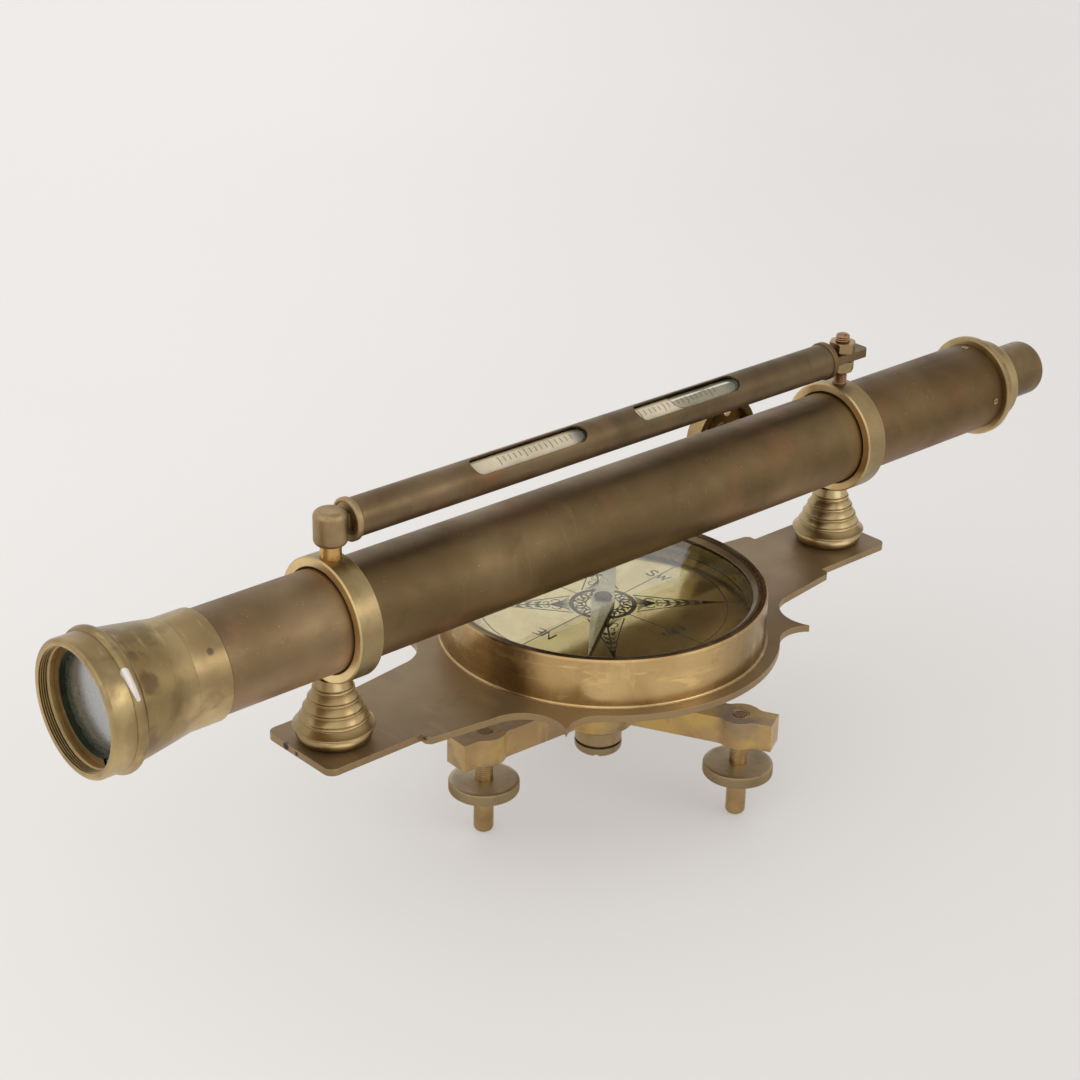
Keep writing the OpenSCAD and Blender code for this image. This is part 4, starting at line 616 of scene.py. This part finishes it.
def floor_material():
    s = Shader("studio_floor")
    drift = s.noise(s.coords, 1.6, detail=3.0, rough=0.5)
    tone = s.mix(s.ramp(drift, 0.3, 0.7), (0.505, 0.497, 0.488), (0.490, 0.480, 0.472))
    # Painted light and shade: the floor is lighter to the left of the view and darker to the right.
    left, right = s.times(tone, (1.09, 1.09, 1.09)), s.times(tone, (0.86, 0.86, 0.86))
    tone = s.mix(s.ramp(s.dot(s.coords, IMAGE_RIGHT), -0.3, 0.35), left, right)
    grain = s.noise(s.coords, 900.0, detail=3.0)
    s.principled(
        Base_Color=tone, Roughness=s.ramp(grain, 0.3, 0.7, 0.55, 0.65),
        Normal=s.bump(grain, 0.05, 0.02 * MM), Specular_IOR_Level=0.25,
        Emission_Color=(1.0, 0.972, 0.948, 1.0), Emission_Strength=0.3,
    )
    return s.material


needle_steel = steel_material()
meniscus = two_tone(
    "bubble_edge", size=300.0, detail=4.0, spread=(0.35, 0.65),
    light=(0.200, 0.195, 0.150), deep=(0.120, 0.118, 0.090), rough=(0.2, 0.35), depth=0.1,
)
dial_metal = dial_material()
ink = two_tone(
    "dial_ink", size=350.0, detail=5.0, spread=(0.4, 0.65),
    light=(0.018, 0.017, 0.014), deep=(0.070, 0.058, 0.032), rough=(0.42, 0.6), depth=0.2,
)
backing = bed_material()

FINISH = (
    (tube_brass, "main_tube"),
    (level_brass, "level_tube"),
    (eye_brass, "eyepiece", "draw_tube", "level_rear_cap"),
    (collar_brass, "eyepiece_mount", "front_collar", "rear_collar"),
    (cell_brass, "objective_bell", "objective_ring", "rear_flange"),
    (retainer_brass, "lens_retainer"),
    (cap_brass, "post_cap", "level_front_cap"),
    (post_brass, "front_post"),
    (stud_copper, "rear_stud", "needle_cap"),
    (pillar_brass, "front_pillar", "rear_pillar"),
    (bowl_brass, "compass_bowl"),
    (bezel_brass, "bezel_ring"),
    (plate_brass, "base_plate"),
    (base_brass, "tribrach", "spindle"),
    (screw_brass, "centre_washer", "centre_screw", *(f"levelling_screw_{number}" for number in FEET)),
    (foot_brass, *(f"foot_{number}" for number in FEET)),
    (wheel_brass, "focus_rack", "pinion", "focus_wheel"),
    (small_brass, "pinion_bush", "upper_nut", "lower_nut", "level_pivot_pin"),
    (small_brass, "flange_screws", "bush_screws", "pillar_screws", "compass_screws", "wheel_screw"),
    (dial_metal, "dial_plate"),
    (needle_steel, "pivot_pin", "needle"),
    (dark_bore, "reticle"),
    (window_glass, "compass_glass"),
    (lens_glass, "objective_lens", "field_lens", "eye_lens"),
    (vial_glass, "front_vial", "rear_vial"),
    (backing, "front_vial_bed", "rear_vial_bed"),
)
for finish, *names in FINISH:
    for name in names:
        shown = nodes[name]
        if not shown.material_slots:
            shown.data.materials.append(finish)
        for place in shown.material_slots:
            place.link = "OBJECT"
            place.material = finish


# Mesh helpers. Points are in millimetres.
def piece(name, points, faces, material, body, slot, stands_for, sharp):
    mesh = bpy.data.meshes.new(name)
    mesh.from_pydata([tuple(c * MM for c in p) for p in points], [], faces)
    mesh.validate()
    mesh.update()
    mesh.materials.append(material)
    mesh.shade_smooth()
    mesh.set_sharp_from_angle(angle=math.radians(sharp))
    made = bpy.data.objects.new(name, mesh)
    scene.collection.objects.link(made)
    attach(made, body)
    if stands_for:
        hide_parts(*stands_for)


def angles(steps):
    return [2.0 * math.pi * k / steps for k in range(steps)]


# Faces between two rings of points, each ring given by the number of its first point.
def between(low, high, steps):
    return [(low + k, low + (k + 1) % steps, high + (k + 1) % steps, high + k) for k in range(steps)]


# Rings of points swept round an axis. reach(row, angle) gives the radius and height of a row at an angle.
def swept(rows, steps, reach, place, closed):
    points = []
    faces = []
    for row in range(rows):
        points += [place(*reach(row, a), a) for a in angles(steps)]
    for row in range(rows if closed else rows - 1):
        after = (row + 1) % rows
        faces += between(row * steps, after * steps, steps)
    return points, faces


def lathed(profile, steps, place):
    return swept(len(profile), steps, lambda row, angle: profile[row], place, True)


def upright(x, y):
    return lambda r, h, a: (x + r * math.cos(a), y + r * math.sin(a), h)


def along_x(z):
    return lambda r, h, a: (h, r * math.cos(a), z + r * math.sin(a))


def along_y(x, z):
    return lambda r, h, a: (x + r * math.sin(a), h, z + r * math.cos(a))


def saw(value):
    phase = value - math.floor(value)
    return abs(2.0 * phase - 1.0)


STEPS_PER_TOOTH = 6
RIM_SHARP = 40.0
THREAD_SHARP = 50.0


# A closed profile that may carry a knurl: each row is radius, height and the share of the knurl's depth.
def knurled(name, profile, teeth, depth, place, material, body, slot, stands_for):
    def reach(row, angle):
        r, h, share = profile[row]
        worn = 0.62 + 0.38 * math.sin(2.0 * angle + 0.7) * math.cos(angle - 0.4)
        cut = 0.5 - 0.5 * math.cos(teeth * angle)
        return r - share * depth * worn * cut ** 0.7, h

    points, faces = swept(len(profile), teeth * STEPS_PER_TOOTH, reach, place, True)
    piece(name, points, faces, material, body, slot, stands_for, RIM_SHARP)


# A threaded rod, its top closed by rings of radius and height. The thread fades in and out over a length:
# run_in and run_out each give a height and that length.
def threaded_rod(start, rise, rows, steps, r, depth, pitch, run_in, run_out, rings, place):
    def reach(row, angle):
        h = start + rise * row
        begun = max(0.0, (h - run_in[0]) / run_in[1])
        left = max(0.0, (run_out[0] - h) / run_out[1])
        return r - depth * min(1.0, begun, left) * saw(h / pitch - angle / (2.0 * math.pi)), h

    points, faces = swept(rows, steps, reach, place, False)
    ring = len(points) - steps
    for inset, h in rings:
        after = len(points)
        points += [place(inset, h, a) for a in angles(steps)]
        faces += between(ring, after, steps)
        ring = after
    faces.append(tuple(range(ring, ring + steps)))
    return points, faces


# Levelling screws: a knurled head on a pin, with a threaded shank.
SCREW_HEAD = (
    (0.02, 11.1, 0), (1.7, 11.1, 0), (2.0, 11.4, 0), (2.0, 16.6, 0), (11.0, 16.6, 0), (12.1, 16.62, 0),
    (12.42, 16.75, 0.2), (12.65, 17.1, 0.9), (12.7, 17.5, 1), (12.7, 18.8, 1), (12.7, 20.1, 1),
    (12.65, 20.5, 0.9), (12.42, 20.85, 0.2), (12.1, 20.98, 0), (11.0, 21.0, 0), (3.5, 21.0, 0),
    (3.0, 21.05, 0), (0.02, 21.05, 0),
)
HEAD_TEETH = 112
HEAD_KNURL = 0.36


def levelling_screw(number):
    place = upright(*FEET[number])
    body = f"screw_{number}"
    whole = (f"levelling_screw_{number}",)
    knurled(
        f"levelling_head_{number}", SCREW_HEAD, HEAD_TEETH, HEAD_KNURL, place,
        screw_brass, body, "base_brass", whole,
    )
    points, faces = threaded_rod(
        start=20.9, rise=0.125, rows=155, steps=48, r=3.2, depth=0.11, pitch=0.75,
        run_in=(22.0, 1.5), run_out=(40.1, 0.8), rings=((2.85, 40.5), (2.5, 40.5)), place=place,
    )
    piece(f"levelling_shank_{number}", points, faces, foot_brass, body, "base_brass", whole, THREAD_SHARP)


for number in FEET:
    levelling_screw(number)


WEB_STEPS = 96


# A round web pierced by holes, between two heights along Y.
def pierced_web(name, x, z, outer, holes, low, high, material, body, slot, stands_for):
    points = []
    faces = []
    rims = []
    for u, v, r, count in [(0.0, 0.0, outer, WEB_STEPS), *holes]:
        rims.append([(u + r * math.sin(a), v + r * math.cos(a)) for a in angles(count)])
    for height, flip in ((low, False), (high, True)):
        build = bmesh.new()
        for rim in rims:
            made = [build.verts.new((u, v, 0.0)) for u, v in rim]
            for k, vert in enumerate(made):
                build.edges.new((vert, made[(k + 1) % len(made)]))
        bmesh.ops.triangle_fill(build, use_beauty=True, edges=build.edges[:])
        start = len(points)
        build.verts.index_update()
        points += [(x + p.co.x, height, z + p.co.y) for p in build.verts]
        for face in build.faces:
            loop = [start + p.index for p in face.verts]
            facing = face.normal.z > 0.0
            faces.append(tuple(reversed(loop)) if facing == flip else tuple(loop))
        build.free()
    total = sum(len(rim) for rim in rims)
    base = 0
    for rim in rims:
        faces += between(base, total + base, len(rim))
        base += len(rim)
    piece(name, points, faces, material, body, slot, stands_for, RIM_SHARP)


# Pillars: a rounded foot, a flange, plain bands between thin beads, and a neck hollowed to fit the collar.
PILLAR_BORE = 2.6
NECK_R = 5.55
COLLAR_OVERLAP = 0.05
BEAD_OUT = 0.42
PILLAR_STEPS = 96
BEADS = ((11.3, 7.55, 8.8), (9.9, 11.2, 12.15), (8.3, 14.7, 15.75), (6.65, 18.3, 19.55))


def bulge(r, low, high, out):
    return [(r + out * math.sin(math.pi * t), low + (high - low) * t) for t in fractions(8)]


def turned_pillar(side, x):
    profile = [
        (PILLAR_BORE, 0.0), (11.0, 0.0), (11.8, 0.5), (12.45, 1.3), (12.8, 2.2), (12.9, 3.1), (12.7, 4.0),
        (12.2, 4.7), *bulge(13.3, 4.8, 5.7, 0.5), (13.1, 5.75),
    ]
    for r, low, high in BEADS:
        profile += [(r + 0.3, low - 0.35), (r - 0.05, low - 0.12), *bulge(r, low, high, BEAD_OUT)]
        profile += [(r - 0.3, high + 0.05), (r - 0.12, high + 0.3)]
    hollow = len(profile)
    profile += [(NECK_R, 0.0), (PILLAR_BORE, 0.0)]

    def reach(row, angle):
        r, h = profile[row]
        if row < hollow:
            return r, PLATE_TOP + h
        return r, TUBE_Z + COLLAR_OVERLAP - math.sqrt(COLLAR_R ** 2 - (r * math.sin(angle)) ** 2)

    points, faces = swept(len(profile), PILLAR_STEPS, reach, upright(x, 0.0), True)
    piece(
        f"{side}_turned_pillar", points, faces, pillar_brass, "head", "gold_brass", (f"{side}_pillar",),
        sharp=38.0,
    )


turned_pillar("front", -PILLAR_X)
turned_pillar("rear", PILLAR_X)


# Focusing wheel: a knurled rim, a thin web with four holes and a hub.
WHEEL_X = 86.0
WHEEL_TEETH = 132
WHEEL_KNURL = 0.3
HOLE_TURN = 18.0
HOLE_RING = 9.5
HOLE_R = 1.8
HOLE_STEPS = 32


def focus_wheel():
    place = along_y(WHEEL_X, TUBE_Z)
    finish = (wheel_brass, "focus", "gold_brass", ("focus_wheel",))
    rim = [
        (12.9, 24.5, 0), (13.1, 24.15, 0), (13.4, 24.0, 0), (15.2, 24.0, 0), (15.55, 24.12, 0.2),
        (15.78, 24.5, 1), (15.8, 25.0, 1), (15.8, 29.5, 1), (15.78, 30.0, 1), (15.55, 30.38, 0.2),
        (15.2, 30.5, 0), (13.4, 30.5, 0), (13.1, 30.35, 0), (12.9, 30.0, 0),
    ]
    knurled("wheel_rim", rim, WHEEL_TEETH, WHEEL_KNURL, place, *finish)
    holes = []
    for k in range(4):
        a = math.radians(90.0 * k + HOLE_TURN)
        holes.append((HOLE_RING * math.sin(a), HOLE_RING * math.cos(a), HOLE_R, HOLE_STEPS))
    pierced_web("wheel_web", WHEEL_X, TUBE_Z, 13.1, holes, 27.0, 29.0, *finish)
    hub = [
        (2.9, 24.0), (4.7, 24.0), (4.92, 24.1), (5.0, 24.3), (5.0, 26.7), (5.3, 27.0), (5.3, 29.0),
        (5.0, 29.2), (5.0, 29.6), (4.92, 29.8), (4.7, 29.9), (2.9, 29.9),
    ]
    piece("wheel_hub", *lathed(hub, steps=64, place=place), *finish, sharp=35.0)


focus_wheel()


# Objective ring: the front cell, with four ridges of thread inside its mouth.
LIP_R = 1.1
THREAD_GAP = 0.76


def objective_ring():
    rows = [(20.3, FRONT_X), (21.2, FRONT_X)]
    for k in range(7):
        a = math.radians(-90.0 + 15.0 * k)
        rows.append((21.2 + LIP_R * math.cos(a), FRONT_X + LIP_R + LIP_R * math.sin(a)))
    rows += [(22.3, -214.0), (22.3, -209.07), (20.8, -209.3), (20.8, -203.3), (17.0, -203.3), (17.0, -206.0)]
    rows += [(19.23, -206.0), (19.23, -213.5), (19.45, -213.65)]
    for k in range(4):
        x = -213.8 - THREAD_GAP * k
        rows += [(19.75, x), (19.75, x - 0.12), (20.5, x - 0.4), (20.5, x - 0.48)]
    rows += [(19.85, -216.85)]
    points, faces = lathed(rows, steps=144, place=along_x(TUBE_Z))
    whole = ("objective_ring",)
    piece("objective_front", points, faces, cell_brass, "head", "cell_brass", whole, sharp=28.0)


objective_ring()


# Rear stud: the thread that carries the nuts.
def threaded_stud():
    steps = 40
    points, faces = threaded_rod(
        start=126.3, rise=0.1, rows=221, steps=steps, r=2.65, depth=0.32, pitch=0.8,
        run_in=(129.6, 0.6), run_out=(148.5, 0.5),
        rings=((2.5, 148.5), (2.2, 148.85), (1.6, 149.15), (0.9, 149.25), (0.3, 149.25)),
        place=upright(PILLAR_X, 0.0),
    )
    faces.append(tuple(reversed(range(steps))))
    piece("stud_thread", points, faces, stud_copper, "head", "copper", ("rear_stud",), THREAD_SHARP)


threaded_stud()


CIRCLE_STEPS = 120
PRINT_LIFT = 0.05


# Print on the dial: flat strokes just above the metal.
class Print:
    def __init__(self, height):
        self.points = []
        self.faces = []
        self.height = height

    def area(self, outline):
        start = len(self.points)
        self.points += [(x, y, self.height) for x, y in outline]
        self.faces.append(tuple(range(start, len(self.points))))

    def stroke(self, line, width, thin=None):
        last = len(line) - 1
        sides = []
        for k, (x, y) in enumerate(line):
            ax, ay = line[max(0, k - 1)]
            bx, by = line[min(last, k + 1)]
            length = math.hypot(bx - ax, by - ay) or 1.0
            w = width if thin is None else width + (thin - width) * k / last
            nx, ny = -(by - ay) / length * w / 2.0, (bx - ax) / length * w / 2.0
            sides.append(((x + nx, y + ny), (x - nx, y - ny)))
        for k in range(last):
            (a, b), (c, d) = sides[k], sides[k + 1]
            self.area([a, b, d, c])

    def circle(self, r, width):
        low, high = r - width / 2, r + width / 2
        turns = [360.0 * k / CIRCLE_STEPS for k in range(CIRCLE_STEPS + 1)]
        for a, b in zip(turns, turns[1:]):
            self.area([polar(low, a), polar(high, a), polar(high, b), polar(low, b)])


def polar(r, degrees):
    a = math.radians(degrees)
    return r * math.cos(a), r * math.sin(a)


# A point given along and across a ray of the rose.
def on_ray(heading, along, across):
    a = math.radians(heading)
    return along * math.cos(a) - across * math.sin(a), along * math.sin(a) + across * math.cos(a)


LETTERS = {
    "N": [[(0, 0), (0, 1)], [(0, 1), (0.8, 0)], [(0.8, 0), (0.8, 1)]],
    "E": [[(0, 0), (0, 1)], [(0, 1), (0.65, 1)], [(0, 0.5), (0.5, 0.5)], [(0, 0), (0.65, 0)]],
    "W": [[(0, 1), (0.25, 0)], [(0.25, 0), (0.5, 0.8)], [(0.5, 0.8), (0.75, 0)], [(0.75, 0), (1, 1)]],
    "S": [[
        (0.66, 0.84), (0.5, 0.98), (0.24, 1.0), (0.05, 0.86), (0.06, 0.66), (0.28, 0.54), (0.5, 0.45),
        (0.67, 0.3), (0.62, 0.1), (0.4, 0.0), (0.16, 0.02), (0.0, 0.16),
    ]],
}
WIDTHS = {"N": 0.8, "E": 0.65, "W": 1.0, "S": 0.7}
LETTER_GAP = 0.28
HEAVY_STROKE = 0.75
LIGHT_STROKE = 0.45


def lettering(sheet, text, heading, reach, size):
    total = sum(WIDTHS[c] for c in text) + LETTER_GAP * (len(text) - 1)
    start = -total / 2.0
    for character in text:
        for line in LETTERS[character]:
            placed = [on_ray(heading, reach + (v - 0.5) * size, -(start + u) * size) for u, v in line]
            upright_or_curved = line[0][0] == line[-1][0] or len(line) > 2
            sheet.stroke(placed, HEAVY_STROKE if upright_or_curved else LIGHT_STROKE)
        start += WIDTHS[character] + LETTER_GAP


def curl(sheet, heading, along, across, size, turn, width):
    line = []
    for t in fractions(14):
        a = math.radians(turn) * t
        r = size * (1.0 - 0.72 * t)
        u, v = r * math.cos(a), r * math.sin(a)
        line.append(on_ray(heading, along + u, across + v))
    sheet.stroke(line, width, width * 1.7)


# The rose stands turned as in the photograph. Its radii run from the core to the rim of the print.
NORTH = -128.0
CORE_R = 6.2
INNER_R = 11.3
SCALE_R = 44.6
RIM_R = 52.0
TIP_R = 44.0
LEAF_FOOT = 12.0


def leaf_half(sheet, heading, side):
    edge = [on_ray(heading, 11.5 + 32.5 * t, side * (6.6 * (1.0 - t) ** 1.35)) for t in fractions(12)]
    sheet.stroke(edge, 0.5, 0.35)
    for k in range(4):
        wide = side * (5.4 - 1.3 * k)
        line = [(LEAF_FOOT + 6.5 * t, wide * (1.0 - 0.9 * t ** 0.6)) for t in fractions(4)]
        sheet.stroke([on_ray(heading, u, v) for u, v in line], 0.32)
    for k, along in enumerate((23.5, 27.0, 30.5, 34.0, 37.0)):
        spread = 2.9 - 0.42 * k
        corners = ((0.0, 0.0), (1.2, 0.55), (-1.9, 1.0), (-0.7, 0.4))
        sheet.area([on_ray(heading, along + u, side * spread * v) for u, v in corners])
    curl(sheet, heading, 16.5, side * 2.2, 2.0, side * 300.0, 0.38)
    curl(sheet, heading, 20.0, side * 1.3, 1.3, side * 260.0, 0.3)


def compass_rose():
    sheet = Print(DIAL_TOP + PRINT_LIFT)
    for r, w in ((INNER_R, 1.7), (CORE_R, 0.5), (SCALE_R, 0.36), (RIM_R, 0.45)):
        sheet.circle(r, w)
    for turn in (0.0, 270.0, 180.0, 90.0):
        heading = NORTH + turn
        for side in (1.0, -1.0):
            leaf_half(sheet, heading, side)
        tip = on_ray(heading, TIP_R, 0.0)
        sheet.stroke([on_ray(heading, LEAF_FOOT, 0.0), tip], 0.8, 0.5)
        sheet.stroke([tip, on_ray(heading, RIM_R, 0.0)], 0.45)
        sheet.area([on_ray(heading, 36.0, 1.0), tip, on_ray(heading, 36.0, -1.0)])
        sheet.stroke([on_ray(heading, 49.6, -1.3), on_ray(heading, 49.6, 1.3)], 0.6)
    for text, turn in (("NE", -45.0), ("SW", 135.0), ("NW", 45.0), ("SE", 225.0)):
        heading = NORTH + turn
        sheet.stroke([on_ray(heading, LEAF_FOOT, 0.0), on_ray(heading, SCALE_R, 0.0)], 0.34)
        lettering(sheet, text, heading, 32.0, 4.4)
    for turn in range(0, 360, 30):
        curl(sheet, NORTH + turn, 8.4, 0.0, 1.5, 330.0, 0.55)
        for side in (7.0, -7.0):
            middle = NORTH + 15.0 + turn
            petal = [polar(6.3 + 4.2 * t, middle + side * math.sin(math.pi * t)) for t in fractions(6)]
            sheet.stroke(petal, 0.7)
    for turn in range(0, 360, 5):
        reach = 50.4 if turn % 10 else 49.2
        sheet.stroke([polar(reach, NORTH + turn), polar(RIM_R, NORTH + turn)], 0.24)
    piece("dial_print", sheet.points, sheet.faces, ink, "head", "dial", (), sharp=30.0)


compass_rose()


# Vials: ticks on the glass, a paper backing and an air bubble under the top. Angles are in degrees round
# the vial, from its top towards the near side.
TICK_R = 5.14
TICK_GAP = 2.3
TICK_HALF = 0.1
TICK_STEPS = 6
PAPER_R = 5.02
PAPER_HALF = 29.0
PAPER_TURN = 78.0
PAPER_STEPS = 24
BUBBLE_R = 5.04
BUBBLE_TURN = 14.0
BUBBLE_HALF = 52.0
BUBBLE_STEPS = 72
BUBBLE_RINGS = 6
DEGREES_PER_MM = 12.0
EDGE = ((-0.16, 5.04), (-0.06, 5.085), (0.06, 5.085), (0.16, 5.04))
VIAL_SHARP = 60.0


def on_vial(x, r, degrees):
    a = math.radians(degrees)
    return x, -r * math.sin(a), LEVEL_Z + r * math.cos(a)


def vial_ticks(side, first, count, low, high):
    points = []
    faces = []
    for k in range(count):
        x = WINDOW_X[side] + first + TICK_GAP * k
        start, end = (low, high) if k % 5 else (low - 4.0, high + 9.0)
        base = len(points)
        for step in range(TICK_STEPS + 1):
            a = start + (end - start) * step / TICK_STEPS
            points += [on_vial(x - TICK_HALF, TICK_R, a), on_vial(x + TICK_HALF, TICK_R, a)]
        for at in range(base, base + 2 * TICK_STEPS, 2):
            faces.append((at, at + 1, at + 3, at + 2))
    piece(f"{side}_vial_ticks", points, faces, ink, "level", "glass", (), VIAL_SHARP)


def vial_paper(side):
    points = []
    faces = []
    rows = ((-PAPER_HALF, 0.5), (-PAPER_HALF + 0.8, 0.0), (PAPER_HALF - 1.2, 0.0), (PAPER_HALF, 0.5))
    for x, drop in rows:
        for step in range(PAPER_STEPS + 1):
            a = WINDOW_ROLL - PAPER_TURN + 2.0 * PAPER_TURN * step / PAPER_STEPS
            points.append(on_vial(WINDOW_X[side] + x, PAPER_R - drop, a))
    for k in range(len(rows) - 1):
        for step in range(PAPER_STEPS):
            at = k * (PAPER_STEPS + 1) + step
            faces.append((at, at + 1, at + PAPER_STEPS + 2, at + PAPER_STEPS + 1))
    piece(f"{side}_vial_paper", points, faces, backing, "level", "bed", (), VIAL_SHARP)


# The rounded outline of a bubble, along and across the vial, from -1 to 1.
def bubble_outline():
    outline = []
    for a in angles(BUBBLE_STEPS):
        u = math.copysign(abs(math.cos(a)) ** 0.35, math.cos(a))
        v = math.copysign(abs(math.sin(a)) ** 0.8, math.sin(a))
        outline.append((u, v))
    return outline


# The bubble as it shows through the glass: a low dome with a dark edge.
def vial_bubble(side, bubble_at, half):
    middle = WINDOW_X[side] + bubble_at
    outline = bubble_outline()
    points = []
    faces = []
    for share in fractions(BUBBLE_RINGS):
        rise = BUBBLE_R + 0.04 * (1.0 - share ** 4)
        for u, v in outline:
            points.append(on_vial(middle + half * share * u, rise, BUBBLE_TURN + BUBBLE_HALF * share * v))
    for k in range(BUBBLE_RINGS):
        faces += between(k * BUBBLE_STEPS, (k + 1) * BUBBLE_STEPS, BUBBLE_STEPS)
    piece(f"{side}_bubble", points, faces, bubble_glass, "level", "glass", (), VIAL_SHARP)
    points = []
    faces = []
    for u, v in outline:
        for grow, rise in EDGE:
            turn = BUBBLE_TURN + (BUBBLE_HALF + DEGREES_PER_MM * grow) * v
            points.append(on_vial(middle + (half + grow) * u, rise, turn))
    rows = len(EDGE)
    for k in range(BUBBLE_STEPS):
        after = rows * ((k + 1) % BUBBLE_STEPS)
        for row in range(rows - 1):
            at = rows * k + row
            faces.append((at, after + row, after + row + 1, at + 1))
    piece(f"{side}_meniscus", points, faces, meniscus, "level", "glass", (), VIAL_SHARP)


vial_ticks("front", first=-13.0, count=15, low=14.0, high=40.0)
vial_paper("front")
vial_bubble("front", bubble_at=27.0, half=2.8)
vial_ticks("rear", first=-23.0, count=17, low=16.0, high=42.0)
vial_paper("rear")
vial_bubble("rear", bubble_at=9.0, half=16.0)


# Floor, light and surroundings, in metres.
FLOOR_R = 9.0
FLOOR_STEPS = 96


def studio_floor():
    mesh = bpy.data.meshes.new("studio_floor")
    rim = [(FLOOR_R * math.cos(a), FLOOR_R * math.sin(a), 0.0) for a in angles(FLOOR_STEPS)]
    faces = [(0, 1 + k, 1 + (k + 1) % FLOOR_STEPS) for k in range(FLOOR_STEPS)]
    mesh.from_pydata([(0.0, 0.0, 0.0), *rim], [], faces)
    mesh.materials.append(floor_material())
    floor = bpy.data.objects.new("studio_floor", mesh)
    scene.collection.objects.link(floor)


def studio_light(name, kind, towards, power, colour):
    data = bpy.data.lights.new(name, kind)
    data.energy = power
    data.color = colour
    made = bpy.data.objects.new(name, data)
    scene.collection.objects.link(made)
    made.rotation_euler = towards.to_track_quat("-Z", "Y").to_euler()
    return made


def studio_lights():
    sun = studio_light("room_light", "SUN", Vector((0.72, 0.1, -1.0)), power=0.7, colour=(1.0, 0.99, 0.975))
    sun.data.angle = math.radians(90.0)
    at = Vector((0.5, -1.2, 0.78))
    target = Vector((-0.05, 0.0, 0.09))
    panel = studio_light("front_light", "AREA", target - at, power=2.0, colour=(1.0, 0.985, 0.965))
    panel.location = at
    panel.data.shape = "RECTANGLE"
    panel.data.size = 0.6
    panel.data.size_y = 0.6


# Surroundings that are brightest at the horizon.
def studio_world():
    world = bpy.data.worlds.new("studio")
    scene.world = world
    world.use_nodes = True
    tree = world.node_tree
    tree.nodes.clear()
    out = tree.nodes.new("ShaderNodeOutputWorld")
    back = tree.nodes.new("ShaderNodeBackground")
    coords = tree.nodes.new("ShaderNodeTexCoord")
    split = tree.nodes.new("ShaderNodeSeparateXYZ")
    ramp = tree.nodes.new("ShaderNodeValToRGB")
    tree.links.new(coords.outputs["Generated"], split.inputs[0])
    tree.links.new(split.outputs["Z"], ramp.inputs[0])
    tree.links.new(ramp.outputs[0], back.inputs["Color"])
    tree.links.new(back.outputs[0], out.inputs["Surface"])
    stops = ramp.color_ramp.elements
    stops[0].position = 0.0
    stops[0].color = (1.08, 1.07, 1.055, 1.0)
    stops[1].position = 0.95
    stops[1].color = (0.60, 0.592, 0.58, 1.0)
    stops.new(0.45).color = (0.96, 0.95, 0.935, 1.0)
    back.inputs["Strength"].default_value = 1.0


studio_floor()
studio_lights()
studio_world()
